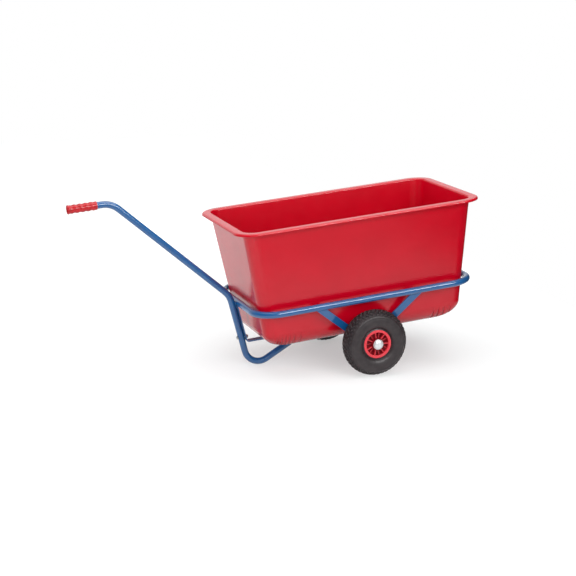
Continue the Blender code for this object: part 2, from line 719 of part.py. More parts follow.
def liner(inset):
    """The tyre's inner (r, z) outline down to its beads, moved in by a distance."""
    half_width = TYRE_WIDTH / 2 - TYRE_WALL
    start = -math.acos(BEAD_INSIDE / half_width)
    bottom = (TYRE_BELT_RADIUS - RIM_FLANGE_RADIUS) / math.sin(-start)
    top = WHEEL_RADIUS - TYRE_BELT_RADIUS - TYRE_TREAD_WALL
    return oval(half_width - inset, top - inset, bottom - inset, start, LINER_STEPS)


def build_tyre(name, parent):
    """The tyre's cover, open to the rim, with two beads on the rim's seats.

    The flats of its crown, not the edges between them, are at the wheel's radius.
    """
    crown = WHEEL_RADIUS / math.cos(math.pi / WHEEL_STEPS) - TYRE_BELT_RADIUS
    half_width = TYRE_WIDTH / 2
    start = -math.acos(BEAD_OUTSIDE / half_width)
    bottom = (TYRE_BELT_RADIUS - RIM_FLANGE_RADIUS) / math.sin(-start)
    seat = BEAD_SEAT_RADIUS + GAP
    profile = oval(half_width, crown, bottom, start, TYRE_STEPS)
    profile += [(seat, -BEAD_OUTSIDE), (seat, -BEAD_INSIDE)]
    profile += liner(0)[::-1] + [(seat, BEAD_INSIDE), (seat, BEAD_OUTSIDE)]
    turned(name, profile, WHEEL_STEPS, tyre_rubber, parent)


def build_inner_tube(name, parent):
    """The air tube that fills the tyre, with a hole towards the rim for the valve stem."""
    outline = liner(2 * GAP)
    seat = BEAD_SEAT_RADIUS + 2 * GAP
    profile = outline + [(seat, outline[-1][1]), (seat, outline[0][1])]
    tube_item = turned(name, profile, WHEEL_STEPS, butyl, parent)
    shell = tube_item.modifiers.new("Wall", 'SOLIDIFY')
    shell.thickness = INNER_TUBE_WALL
    shell.offset = -1
    shell.use_even_offset = True
    hole = rod_along(f"{name}_valve_cutter", (TYRE_BELT_RADIUS, 0, -VALVE_PLANE),
                     (VALVE_TIP_RADIUS, 0, -VALVE_PLANE), VALVE_RADIUS + GAP, SMALL_STEPS,
                     None, parent)
    boolean(tube_item, make_cutter(hole))


def rim_profile(web_floor):
    """Half a rim on the +Z side: hub, web, barrel and flange in one turned section."""
    hub_end = HUB_LENGTH / 2
    web_top = web_floor + RIM_WEB_THICKNESS
    flange_inner = RIM_FLANGE_FACE - RIM_FLANGE_THICKNESS
    return [(BORE_RADIUS, hub_end), (HUB_RADIUS, hub_end), (HUB_RADIUS, web_top),
            (RIM_BARREL_RADIUS, web_top), (RIM_BARREL_RADIUS, RIM_FLANGE_FACE),
            (RIM_FLANGE_RADIUS, RIM_FLANGE_FACE), (RIM_FLANGE_RADIUS, flange_inner),
            (BEAD_SEAT_RADIUS, flange_inner), (BEAD_SEAT_RADIUS, GAP / 2),
            (RIM_BARREL_RADIUS, GAP / 2), (RIM_BARREL_RADIUS, web_floor),
            (HUB_RADIUS, web_floor), (HUB_RADIUS, GAP / 2), (BORE_RADIUS, GAP / 2)]


def screw_angles():
    """The rim screws start half a pitch round from the valve, which is at angle zero."""
    offset = math.pi / RIM_SCREWS
    return [offset + 2 * math.pi * index / RIM_SCREWS for index in range(RIM_SCREWS)]


def build_rim_outer(name, parent):
    """The outboard rim half, with tall and low ribs by turns and blind screw bosses.

    The first rib is half a facet round, so that it points level forwards on the near wheel.
    """
    rim = turned(name, rim_profile(OUTER_WEB_FLOOR), WHEEL_STEPS, rim_plastic, parent)
    web_middle = OUTER_WEB_FLOOR + RIM_WEB_THICKNESS / 2
    inner_end = (BORE_RADIUS + HUB_RADIUS) / 2
    outer_end = (RIM_BARREL_RADIUS + BEAD_SEAT_RADIUS) / 2
    ribs = bmesh.new()
    for index in range(2 * RIB_COUNT):
        drop = RIB_DROP if index % 2 == 0 else SMALL_RIB_DROP
        height = RIM_FLANGE_FACE - drop - web_middle
        angle = math.pi / WHEEL_STEPS + math.pi * index / RIB_COUNT
        place = Matrix.Rotation(angle, 4, 'Z')
        place @= Matrix.Translation(((inner_end + outer_end) / 2, 0, web_middle + height / 2))
        place @= Matrix.Diagonal((outer_end - inner_end, RIB_THICKNESS, height, 1))
        bmesh.ops.create_cube(ribs, size=1, matrix=place)
    rib_tool = add_object(f"{name}_rib_tool", bmesh_to_mesh(f"{name}_ribs", ribs), None, parent)
    boolean(rim, make_cutter(rib_tool), 'UNION')
    add_bosses(rim, name, GAP / 2, web_middle, OUTER_WEB_FLOOR - GAP, parent)


def build_rim_inner(name, parent):
    """The inboard rim half, which the screws pass through from its open side."""
    rim = turned(name, [(r, -z) for r, z in rim_profile(INNER_WEB_FLOOR)][::-1], WHEEL_STEPS,
                 rim_plastic, parent)
    web_middle = INNER_WEB_FLOOR + RIM_WEB_THICKNESS / 2
    hole_end = INNER_WEB_FLOOR + 2 * RIM_WEB_THICKNESS
    add_bosses(rim, name, -GAP / 2, -web_middle, -hole_end, parent)
    hole = rod_along(f"{name}_valve_cutter", (RIM_FLANGE_RADIUS, 0, -VALVE_PLANE),
                     (VALVE_TIP_RADIUS, 0, -VALVE_PLANE), VALVE_RADIUS + GAP, SMALL_STEPS,
                     None, parent)
    boolean(rim, make_cutter(hole))


def add_bosses(rim, name, face, root, hole_end, parent):
    """Bosses from the mating face to the web, each with a screw hole to hole_end."""
    boss = cylinder_mesh("boss", (RIM_SCREW_CIRCLE, 0, face), (RIM_SCREW_CIRCLE, 0, root),
                         RIM_BOSS_RADIUS, SMALL_STEPS)
    outside = -math.copysign(GAP, face)
    hole = cylinder_mesh("hole", (RIM_SCREW_CIRCLE, 0, outside),
                         (RIM_SCREW_CIRCLE, 0, hole_end), RIM_SCREW_RADIUS + GAP, SMALL_STEPS)
    boolean(rim, round_cutter(f"{name}_boss_tool", boss, screw_angles(), parent), 'UNION')
    boolean(rim, round_cutter(f"{name}_hole_tool", hole, screw_angles(), parent))


def build_rim_screws(side_name, parent):
    """Screws that clamp the rim halves, their heads on the inboard web."""
    seat = -INNER_WEB_FLOOR - RIM_WEB_THICKNESS - GAP
    head = seat - RIM_SCREW_HEAD_HEIGHT
    tip = OUTER_WEB_FLOOR - GAP - RIM_SCREW_TIP_ROOM
    profile = [(0, tip), (RIM_SCREW_RADIUS, tip), (RIM_SCREW_RADIUS, seat),
               (RIM_SCREW_HEAD_RADIUS, seat), (RIM_SCREW_HEAD_RADIUS, head), (0, head)]
    blank = turned("screw_blank", profile, SMALL_STEPS, None, None, closed=False)
    screw = evaluated_mesh(blank)
    bpy.data.objects.remove(blank)
    screw.transform(Matrix.Translation((RIM_SCREW_CIRCLE, 0, 0)))
    round_copies(f"rim_screw_{side_name}", screw, screw_angles(), zinc, parent)


def build_bearing(side_name, parent):
    """Steel rollers in a plastic cage, between the axle and the hub's bore."""
    pitch = AXLE_RADIUS + RUNNING_CLEARANCE + ROLLER_RADIUS
    wall = RUNNING_CLEARANCE + GAP
    angles = [2 * math.pi * index / ROLLER_COUNT for index in range(ROLLER_COUNT)]
    cage = turned(f"bearing_cage_{side_name}",
                  tube(-CAGE_LENGTH / 2, CAGE_LENGTH / 2, AXLE_RADIUS + wall, BORE_RADIUS - wall),
                  WHEEL_STEPS, black_plastic, parent)
    half = ROLLER_LENGTH / 2
    roller = cylinder_mesh("roller", (pitch, 0, -half), (pitch, 0, half), ROLLER_RADIUS,
                           ROLLER_STEPS)
    slot = cylinder_mesh("slot", (pitch, 0, -half - GAP), (pitch, 0, half + GAP),
                         ROLLER_RADIUS + GAP, ROLLER_STEPS)
    boolean(cage, round_cutter(f"roller_slots_{side_name}_tool", slot, angles, parent))
    round_copies(f"roller_{side_name}", roller, angles, steel, parent)


def build_valve(side_name, parent):
    """The stem from the inner tube through the rim's barrel, and its cap."""
    stem_top = BEAD_SEAT_RADIUS + 2 * TYRE_WALL
    cap_seat = VALVE_TIP_RADIUS + VALVE_CAP_LENGTH
    rod_along(f"valve_stem_{side_name}", (stem_top, 0, -VALVE_PLANE),
              (cap_seat + GAP, 0, -VALVE_PLANE), VALVE_RADIUS, SMALL_STEPS, brass, parent)
    rod_along(f"valve_cap_{side_name}", (cap_seat, 0, -VALVE_PLANE),
              (VALVE_TIP_RADIUS, 0, -VALVE_PLANE), VALVE_CAP_RADIUS, SMALL_STEPS,
              black_plastic, parent)


def build_wheel(side_name, side, parent):
    """One wheel round an empty at its centre, whose own +Z points outboard.

    It is turned so that it stands on a flat of the tyre.
    """
    turn = PARKED_TILT + math.pi / WHEEL_STEPS
    wheel = new_empty(f"wheel_{side_name}_spin", parent, (0, side * WHEEL_TRACK / 2, 0),
                      (-side * math.pi / 2, turn, 0))
    build_tyre(f"tyre_{side_name}", wheel)
    build_inner_tube(f"inner_tube_{side_name}", wheel)
    build_rim_outer(f"rim_outer_{side_name}", wheel)
    build_rim_inner(f"rim_inner_{side_name}", wheel)
    build_rim_screws(side_name, wheel)
    build_bearing(side_name, wheel)
    build_valve(side_name, wheel)


def centre_on_floor(root):
    """Moves the cart along X until the origin is under the middle of its bounding box."""
    bpy.context.view_layer.update()
    graph = bpy.context.evaluated_depsgraph_get()
    reach = []
    for item in parts.objects:
        if item.type == 'MESH':
            solid = item.evaluated_get(graph)
            reach += [(solid.matrix_world @ vertex.co).x for vertex in solid.data.vertices]
    root.location.x -= (min(reach) + max(reach)) / 2


clear_scene()
parts = new_collection("hand_cart")
cutters = new_collection("cutters")

frame_paint = new_material("frame_paint", PAINT_BLUE, 0.30)
tub_plastic = new_material("tub_plastic", TUB_RED, 0.32)
grip_plastic = new_material("grip_plastic", PLASTIC_RED, 0.45)
rim_plastic = new_material("rim_plastic", PLASTIC_RED, 0.40)
tyre_rubber = new_material("tyre_rubber", RUBBER_BLACK, 0.75)
butyl = new_material("inner_tube_butyl", RUBBER_BLACK, 0.60)
black_plastic = new_material("black_plastic", PLASTIC_BLACK, 0.45)
zinc = new_material("zinc_plate", ZINC_GREY, 0.35, 1.0)
bright_zinc = new_material("bright_zinc", ZINC_GREY, 0.15, 1.0)
steel = new_material("bearing_steel", STEEL_GREY, 0.30, 1.0)
brass = new_material("valve_brass", BRASS_YELLOW, 0.35, 1.0)

cart = new_empty("cart_tilt", None, (0, 0, WHEEL_RADIUS), (0, -PARKED_TILT, 0))
tub_seat = new_empty("tub_lift", cart, (-TUB_SETBACK, 0, TUB_RIM_HEIGHT))
build_tub(tub_seat)
build_ring(cart)
leg_hole = build_handle(cart)
build_strap(leg_hole, cart)
for side_label, side_sign in (("near", -1), ("far", 1)):
    build_strut(f"strut_rear_{side_label}", -1, side_sign, LUG_FACE, cart)
    build_strut(f"strut_front_{side_label}", 1, side_sign, LUG_FACE - BAR_THICKNESS - GAP, cart)
    build_axle_stack(side_label, side_sign, cart)
    build_wheel(side_label, side_sign, cart)
build_axle(cart)
centre_on_floor(cart)
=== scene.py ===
"""Looks for the two-wheeled hand cart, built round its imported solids.

Pieces are built in the cart's own level frame, with its origin in the middle of the axle, +X
towards the nose, +Y towards the far side and +Z up, and are then tilted back onto the foot as the
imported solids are. A wheel's pieces are built about the wheel's own axis, with +Z outboard.
"""

import json
import logging
import math
from dataclasses import dataclass
from enum import Enum
from typing import Any, Callable, Iterable, Optional

import bmesh
import bpy
from mathutils import Matrix, Vector


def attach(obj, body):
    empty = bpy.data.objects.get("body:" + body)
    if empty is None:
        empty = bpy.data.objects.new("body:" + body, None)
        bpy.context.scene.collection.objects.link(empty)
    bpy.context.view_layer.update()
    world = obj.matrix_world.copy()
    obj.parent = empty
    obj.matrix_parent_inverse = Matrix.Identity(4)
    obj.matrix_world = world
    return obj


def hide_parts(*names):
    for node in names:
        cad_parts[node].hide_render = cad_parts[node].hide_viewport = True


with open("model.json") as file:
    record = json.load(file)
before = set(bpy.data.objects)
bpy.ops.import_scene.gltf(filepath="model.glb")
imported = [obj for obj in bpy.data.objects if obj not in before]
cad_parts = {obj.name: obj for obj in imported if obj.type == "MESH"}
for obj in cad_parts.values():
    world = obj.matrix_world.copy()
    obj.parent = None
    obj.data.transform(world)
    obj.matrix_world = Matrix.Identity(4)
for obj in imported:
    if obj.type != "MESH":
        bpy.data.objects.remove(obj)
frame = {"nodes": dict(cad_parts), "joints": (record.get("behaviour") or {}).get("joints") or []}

LOG = logging.getLogger("hand_cart")
# Lengths are in metres wherever a name doesn't say otherwise.
TUBE_RADIUS = 0.013
TUBE_SIDES = 32
WHEEL_RADIUS = 0.130
BAR_WIDTH = 0.030
BAR_THICKNESS = 0.005
AXLE_RADIUS = 0.010
WELD_RADIUS = 0.0026
FOLD_LAYER = "fold"
# Points nearer to each other than these are merged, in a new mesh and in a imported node.
MESH_MERGE = 0.000001
NODE_MERGE = 0.00001
SHARP_DEGREES = 35.0
SMOOTH_DEGREES = 50.0
Y_AXIS = Vector((0, 1, 0))
Z_AXIS = Vector((0, 0, 1))
# Nearly all of a noise pattern's values lie between these two.
NOISE_LOW = 0.3
NOISE_HIGH = 0.7

Profile = list[tuple[float, float]]
Loop = list[Vector]
Tree = bpy.types.NodeTree
Node = bpy.types.Node
Socket = bpy.types.NodeSocket
Mesh = bpy.types.Mesh
EditMesh = bmesh.types.BMesh


class Side(Enum):
    """The two sides of the cart, with the sign of their Y."""

    NEAR = -1
    FAR = 1

    @property
    def label(self) -> str:
        """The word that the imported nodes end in."""
        return self.name.lower()


class Body(Enum):
    """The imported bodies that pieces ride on."""

    FRAME = "frame"
    TUB = "tub"
    WHEEL_NEAR = "wheel_near"
    WHEEL_FAR = "wheel_far"

    @classmethod
    def wheel(cls, side: Side) -> "Body":
        """The wheel body of a side."""
        return cls.WHEEL_NEAR if side is Side.NEAR else cls.WHEEL_FAR


class Surface(Enum):
    """The cart's finishes, with the record's name for each."""

    PAINT = "frame_paint"
    TUB = "tub_plastic"
    GRIP = "grip_plastic"
    RIM = "rim_plastic"
    TYRE = "tyre_rubber"
    BUTYL = "inner_tube_butyl"
    BLACK = "black_plastic"
    ZINC = "zinc_plate"
    BRIGHT = "bright_zinc"
    STEEL = "bearing_steel"
    BRASS = "valve_brass"


def linear(hex_colour: str) -> tuple[float, float, float, float]:
    """Turns an sRGB hex colour into the linear colour that a socket takes.

    Args:
        hex_colour: a colour such as #2B5C96.

    Returns:
        Red, green, blue and an alpha of one.
    """
    shares = [int(hex_colour[place:place + 2], 16) / 255 for place in (1, 3, 5)]
    channels = [c / 12.92 if c <= 0.04045 else ((c + 0.055) / 1.055) ** 2.4 for c in shares]
    return (*channels, 1.0)


def per_metre(millimetres: float) -> float:
    """The pattern scale that gives features of a real size."""
    return 1000.0 / millimetres


def add_node(tree: Tree, kind: str, settings: Optional[dict[Any, Any]] = None,
             links: Optional[dict[Any, Socket]] = None) -> Node:
    """Adds a node with its settings and links.

    Args:
        tree: the node tree of a material or world.
        kind: the node's type.
        settings: values by the name or number of an input, or by the name of a property.
        links: output sockets by the name or number of the input that they feed.

    Returns:
        The new node.
    """
    node = tree.nodes.new(kind)
    for name, value in (settings or {}).items():
        if isinstance(name, int) or name in node.inputs:
            node.inputs[name].default_value = value
        else:
            setattr(node, name, value)
    for name, socket in (links or {}).items():
        tree.links.new(socket, node.inputs[name])
    return node


@dataclass(frozen=True)
class Pattern:
    """A soft random pattern: the size of its features, its finer layers and its stretch."""

    millimetres: float
    detail: float = 2.0
    stretch: tuple[float, float, float] = (1.0, 1.0, 1.0)

    def draw(self, tree: Tree) -> Socket:
        """Adds the pattern to a material.

        Args:
            tree: the material's node tree.

        Returns:
            The pattern's value, from zero to one.
        """
        place = add_node(tree, "ShaderNodeTexCoord").outputs["Object"]
        spread = add_node(tree, "ShaderNodeMapping", {"Scale": self.stretch}, {"Vector": place})
        noise = add_node(tree, "ShaderNodeTexNoise",
                         {"Scale": per_metre(self.millimetres), "Detail": self.detail},
                         {"Vector": spread.outputs[0]})
        return noise.outputs["Fac"]


@dataclass(frozen=True)
class Finish:
    """A real material and how its surface was made.

    Clouds of a second shade lie in its colour, and its gloss rises and falls in patches. Each
    layer of its relief is a pattern with its depth in millimetres.
    """

    name: str
    colour: str
    roughness: float
    metallic: float = 0.0
    shade: Optional[str] = None
    shade_share: float = 1.0
    clouds: Pattern = Pattern(10.0)
    patches: Pattern = Pattern(10.0)
    gloss_spread: tuple[float, float] = (0.05, 0.10)
    relief: tuple[tuple[Pattern, float], ...] = ()

    def build(self) -> bpy.types.Material:
        """Makes the material.

        Returns:
            A material whose shader has this finish's colour, gloss and surface detail.
        """
        material = bpy.data.materials.new(self.name)
        material.use_nodes = True
        tree = material.node_tree
        shader = tree.nodes["Principled BSDF"]
        shader.inputs["Base Color"].default_value = linear(self.colour)
        shader.inputs["Metallic"].default_value = self.metallic
        self.dress(tree, shader)
        return material

    def dress(self, tree: Tree, shader: Node) -> None:
        """Adds the clouds, the patches and the relief.

        Args:
            tree: the material's node tree.
            shader: its shader.
        """
        if self.shade:
            share = add_node(tree, "ShaderNodeMapRange",
                             {1: NOISE_LOW, 2: NOISE_HIGH, 4: self.shade_share},
                             {0: self.clouds.draw(tree)})
            colour = add_node(tree, "ShaderNodeMix",
                              {"data_type": 'RGBA', 6: linear(self.colour),
                               7: linear(self.shade)}, {0: share.outputs[0]})
            tree.links.new(colour.outputs[2], shader.inputs["Base Color"])
        gloss = add_node(tree, "ShaderNodeMapRange",
                         {1: NOISE_LOW, 2: NOISE_HIGH, 3: self.roughness - self.gloss_spread[0],
                          4: self.roughness + self.gloss_spread[1]},
                         {0: self.patches.draw(tree)})
        tree.links.new(gloss.outputs[0], shader.inputs["Roughness"])
        links: dict[str, Socket] = {}
        for pattern, depth in self.relief:
            links["Height"] = pattern.draw(tree)
            bump = add_node(tree, "ShaderNodeBump", {"Strength": 1.0, "Distance": depth / 1000},
                            links)
            links["Normal"] = bump.outputs["Normal"]
            tree.links.new(links["Normal"], shader.inputs["Normal"])


@dataclass(frozen=True)
class PowderCoatedSteel(Finish):
    """Polyester powder baked on steel: glossy, with a fine orange peel that breaks reflections."""

    shade: str = "#0D528C"
    clouds: Pattern = Pattern(60.0)
    patches: Pattern = Pattern(12.0)
    gloss_spread: tuple[float, float] = (0.03, 0.05)
    relief: tuple[tuple[Pattern, float], ...] = ((Pattern(2.2), 0.006),)
    pigment_gloss: float = 0.25
    skin_roughness: float = 0.05
    skin_ior: float = 1.58

    def dress(self, tree: Tree, shader: Node) -> None:
        """Adds the baked powder's clear skin.

        Args:
            tree: the material's node tree.
            shader: its shader.
        """
        super().dress(tree, shader)
        shader.inputs["Specular IOR Level"].default_value = self.pigment_gloss
        shader.inputs["Coat Weight"].default_value = 1.0
        shader.inputs["Coat Roughness"].default_value = self.skin_roughness
        shader.inputs["Coat IOR"].default_value = self.skin_ior


@dataclass(frozen=True)
class VacuumFormedPolyethylene(Finish):
    """Sheet drawn hot into a mould: a slow ripple in its gloss, and a fine grain over it."""

    shade: str = "#C2001C"
    clouds: Pattern = Pattern(90.0)
    patches: Pattern = Pattern(35.0, 4.0)
    gloss_spread: tuple[float, float] = (0.015, 0.03)
    # The real grain is some tenths of a millimetre, too fine to show, and is drawn coarser.
    relief: tuple[tuple[Pattern, float], ...] = ((Pattern(140.0, 1.0), 0.6),
                                                 (Pattern(2.0), 0.003))
    # Painted shade: the dark red that the folds are given, by how deep each point is in one.
    painted_fold_shade: str = "#66000E"
    fold_roughness: float = 0.7

    def dress(self, tree: Tree, shader: Node) -> None:
        """Paints shade into the sheet's folds and makes them dull, by how deep each point is in
        one.

        Args:
            tree: the material's node tree.
            shader: its shader.
        """
        super().dress(tree, shader)
        colour = shader.inputs["Base Color"].links[0].from_socket
        gloss = shader.inputs["Roughness"].links[0].from_socket
        fold = add_node(tree, "ShaderNodeAttribute", {"attribute_name": FOLD_LAYER}).outputs["Fac"]
        # Painted shade in the folds.
        shaded = add_node(tree, "ShaderNodeMix", {"data_type": 'RGBA', 7: linear(self.painted_fold_shade)},
                          {0: fold, 6: colour})
        tree.links.new(shaded.outputs[2], shader.inputs["Base Color"])
        duller = add_node(tree, "ShaderNodeMapRange", {4: self.fold_roughness},
                          {0: fold, 3: gloss})
        tree.links.new(duller.outputs[0], shader.inputs["Roughness"])


@dataclass(frozen=True)
class MouldedPlastic(Finish):
    """Injection-moulded plastic: flow clouds, and a soft shine over a spark-eroded mould grain."""

    shade: str = "#C81020"
    clouds: Pattern = Pattern(14.0)
    patches: Pattern = Pattern(8.0)
    gloss_spread: tuple[float, float] = (0.05, 0.07)
    # The real grain is about 0.1 mm, too fine to show, and is drawn coarser.
    relief: tuple[tuple[Pattern, float], ...] = ((Pattern(0.9), 0.02),)


@dataclass(frozen=True)
class PocketedPlastic(MouldedPlastic):
    """The rims' moulded plastic, with shade painted deep in the pockets by the web and round the
    hub.
    """

    # Painted shade: the colour that the pockets darken to, deep by the web and close to the hub.
    dirt: str = "#8A0014"
    deep_mm: float = 288.0
    open_mm: float = 302.0
    hub_mm: float = 23.5
    clear_mm: float = 26.5

    def dress(self, tree: Tree, shader: Node) -> None:
        """Paints shade into the rim, by depth in the rim and distance from the hub.

        Args:
            tree: the material's node tree.
            shader: its shader.
        """
        super().dress(tree, shader)
        axle = Stance.of_frame(frame["joints"]).axle
        place = add_node(tree, "ShaderNodeTexCoord").outputs["Object"]
        spoke = add_node(tree, "ShaderNodeVectorMath", {"operation": 'SUBTRACT', 1: axle},
                         {0: place})
        parts = add_node(tree, "ShaderNodeSeparateXYZ", {}, {0: spoke.outputs[0]})
        away = add_node(tree, "ShaderNodeMath", {"operation": 'ABSOLUTE'}, {0: parts.outputs["Y"]})
        flat = add_node(tree, "ShaderNodeVectorMath", {"operation": 'MULTIPLY', 1: (1, 0, 1)},
                        {0: spoke.outputs[0]})
        radius = add_node(tree, "ShaderNodeVectorMath", {"operation": 'LENGTH'},
                          {0: flat.outputs[0]})
        outward = add_node(tree, "ShaderNodeMapRange",
                           {1: self.deep_mm / 1000, 2: self.open_mm / 1000},
                           {0: away.outputs[0]})
        clear = add_node(tree, "ShaderNodeMapRange",
                         {1: self.hub_mm / 1000, 2: self.clear_mm / 1000},
                         {0: radius.outputs["Value"]})
        openness = add_node(tree, "ShaderNodeMath", {"operation": 'MINIMUM'},
                            {0: outward.outputs[0], 1: clear.outputs[0]})
        # Painted shade: the rim's own colour gives way to a dark red deep in the pockets and round
        # the hub.
        unshaded = shader.inputs["Base Color"].links[0].from_socket
        blend = add_node(tree, "ShaderNodeMix", {"data_type": 'RGBA', 6: linear(self.dirt)},
                         {0: openness.outputs[0], 7: unshaded})
        tree.links.new(blend.outputs[2], shader.inputs["Base Color"])


@dataclass(frozen=True)
class VulcanisedRubber(Finish):
    """Carbon-black rubber cured in a mould: matt and slightly dusty, greyer where it is rubbed."""

    shade: str = "#544C4D"
    shade_share: float = 0.25
    clouds: Pattern = Pattern(25.0, 5.0)
    patches: Pattern = Pattern(10.0, 3.0)
    gloss_spread: tuple[float, float] = (0.08, 0.10)
    # The real mould grain is some tenths of a millimetre, too fine to show, and is drawn coarser.
    relief: tuple[tuple[Pattern, float], ...] = ((Pattern(1.2), 0.05),)


@dataclass(frozen=True)
class ZincPlatedSteel(Finish):
    """Zinc plated on steel: pale grey crystals that show by their uneven gloss."""

    shade: str = "#A9ADB2"
    clouds: Pattern = Pattern(5.0, 3.0)
    patches: Pattern = Pattern(2.5, 3.0)
    # Real crystals are under 0.1 mm, too fine to show, and are drawn coarser.
    relief: tuple[tuple[Pattern, float], ...] = ((Pattern(1.5), 0.01),)


@dataclass(frozen=True)
class TurnedMetal(Finish):
    """Metal turned or ground on its axis: fine rings that stretch its highlights."""

    patches: Pattern = Pattern(4.0, 3.0)
    gloss_spread: tuple[float, float] = (0.05, 0.08)
    # Real tool marks are under 0.1 mm apart, too fine to show, and are drawn coarser.
    relief: tuple[tuple[Pattern, float], ...] = ((Pattern(0.4, 1.0, (0.05, 1.0, 0.05)), 0.008),)


FINISHES: dict[Surface, Finish] = {
    Surface.PAINT: PowderCoatedSteel("powder_coated_steel_blue", "#125B97", 0.40),
    Surface.TUB: VacuumFormedPolyethylene("vacuum_formed_polyethylene_red", "#C8001E", 0.18),
    Surface.GRIP: MouldedPlastic("moulded_polypropylene_grip_red", "#AC0C15", 0.30,
                                 relief=((Pattern(0.9), 0.008),)),
    Surface.RIM: PocketedPlastic("moulded_polypropylene_rim_red", "#EA404C", 0.40,
                                 shade="#E83C48"),
    Surface.TYRE: VulcanisedRubber("vulcanised_tyre_rubber", "#261E21", 0.47),
    Surface.BUTYL: VulcanisedRubber("butyl_inner_tube_rubber", "#1F1D1E", 0.50),
    Surface.BLACK: MouldedPlastic("moulded_polyethylene_black", "#17171A", 0.42,
                                  shade="#0E0E10"),
    Surface.ZINC: ZincPlatedSteel("zinc_plated_steel", "#C4C7CA", 0.34, 1.0),
    Surface.BRIGHT: ZincPlatedSteel("bright_zinc_pressed_steel", "#E6E8EA", 0.46, 0.75,
                                    shade="#E6E8EA"),
    Surface.STEEL: TurnedMetal("ground_bearing_steel", "#A9AAAD", 0.28, 1.0),
    Surface.BRASS: TurnedMetal("turned_brass", "#D6A24C", 0.30, 1.0),
}


def mesh_from(name: str, bm: EditMesh) -> Mesh:
    """Cleans a bmesh and turns it into a mesh with its faces outwards.

    Args:
        name: the mesh's name.
        bm: the bmesh, which is used up.

    Returns:
        The mesh.
    """
    bmesh.ops.remove_doubles(bm, verts=bm.verts, dist=MESH_MERGE)
    bm.normal_update()
    bmesh.ops.recalc_face_normals(bm, faces=bm.faces)
    mesh = bpy.data.meshes.new(name)
    bm.to_mesh(mesh)
    bm.free()
    return mesh


def skin(bm: EditMesh, loops: list[Loop], closed: bool = True, cyclic: bool = False,
         caps: bool = False) -> None:
    """Joins loops of the same number of points with faces.

    Args:
        bm: the bmesh that gets the faces.
        loops: the loops, in order.
        closed: whether each loop's last point joins its first.
        cyclic: whether the last loop joins the first.
        caps: whether the first and last loops are filled.
    """
    rows = [[bm.verts.new(point) for point in loop] for loop in loops]
    following = rows[1:] + ([rows[0]] if cyclic else [])
    for row, next_row in zip(rows, following):
        count = len(row)
        for index in range(count if closed else count - 1):
            after = (index + 1) % count
            bm.faces.new((row[index], row[after], next_row[after], next_row[index]))
    if caps:
        bm.faces.new(rows[0][::-1])
        bm.faces.new(rows[-1])


def loft(name: str, loops: list[Loop], closed: bool = True, cyclic: bool = False,
         caps: bool = False) -> Mesh:
    """Makes one mesh from loops of the same number of points.

    Args:
        name: the mesh's name.
        loops: the loops, in order.
        closed: whether each loop's last point joins its first.
        cyclic: whether the last loop joins the first.
        caps: whether the first and last loops are filled.

    Returns:
        The joined mesh.
    """
    bm = bmesh.new()
    skin(bm, loops, closed, cyclic, caps)
    return mesh_from(name, bm)


def revolve(name: str, profile: Profile, steps: int, closed: bool = True) -> Mesh:
    """Turns an (r, z) profile about Z.

    Args:
        name: the mesh's name.
        profile: radius and height of each point.
        steps: how many facets go round.
        closed: whether the profile's last point joins its first.

    Returns:
        The turned mesh.
    """
    loops = []
    for step in range(steps):
        angle = 2 * math.pi * step / steps
        loops.append([Vector((r * math.cos(angle), r * math.sin(angle), z)) for r, z in profile])
    return loft(name, loops, closed=closed, cyclic=True)


def arc(centre: tuple[float, float], radius: float, start: float, end: float,
        steps: int) -> Profile:
    """Points of a circular arc.

    Args:
        centre: the arc's centre.
        radius: its radius.
        start: its first angle in degrees.
        end: its last angle in degrees.
        steps: how many pieces it is cut into.

    Returns:
        The arc's points, both ends included.
    """
    points = []
    for step in range(steps + 1):
        angle = math.radians(start + (end - start) * step / steps)
        points.append((centre[0] + radius * math.cos(angle),
                       centre[1] + radius * math.sin(angle)))
    return points


def round_section(radius: float, sides: int = TUBE_SIDES) -> Profile:
    """The points of a tube's round section."""
    return arc((0, 0), radius, 0, 360, sides)[:-1]


def rounded_profile(corners: list[tuple[float, float, float]], steps: int = 3) -> Profile:
    """Rounds the corners of a closed section.

    Args:
        corners: the two coordinates and the rounding radius of each corner.
        steps: how many pieces each rounding has.

    Returns:
        The rounded section's points.
    """
    points: Profile = []
    count = len(corners)
    for index, (x, y, radius) in enumerate(corners):
        here = Vector((x, y))
        if radius <= 0:
            points.append((x, y))
            continue
        back = (Vector(corners[index - 1][:2]) - here).normalized()
        ahead = (Vector(corners[(index + 1) % count][:2]) - here).normalized()
        for step in range(steps + 1):
            share = step / steps
            first = here + back * radius * (1 - share)
            second = here + ahead * radius * share
            points.append(tuple(first.lerp(second, share)))
    return points


def bend_points(corners: list[Vector], radii: list[float],
                degrees_per_step: float = 4.0) -> list[Vector]:
    """Rounds the inner corners of a line with arcs.

    Args:
        corners: the line's corners, ends included.
        radii: the radius of each inner corner's arc.
        degrees_per_step: how finely the arcs are cut.

    Returns:
        The points of the rounded line.
    """
    points = [corners[0]]
    for before, corner, after, radius in zip(corners, corners[1:], corners[2:], radii):
        back = (before - corner).normalized()
        ahead = (after - corner).normalized()
        turn = math.pi - back.angle(ahead)
        centre = corner + (back + ahead).normalized() * radius / math.cos(turn / 2)
        axis = back.cross(ahead).normalized()
        spoke = corner + back * radius * math.tan(turn / 2) - centre
        steps = max(2, round(math.degrees(turn) / degrees_per_step))
        for step in range(steps + 1):
            points.append(centre + Matrix.Rotation(-turn * step / steps, 3, axis) @ spoke)
    points.append(corners[-1])
    return points


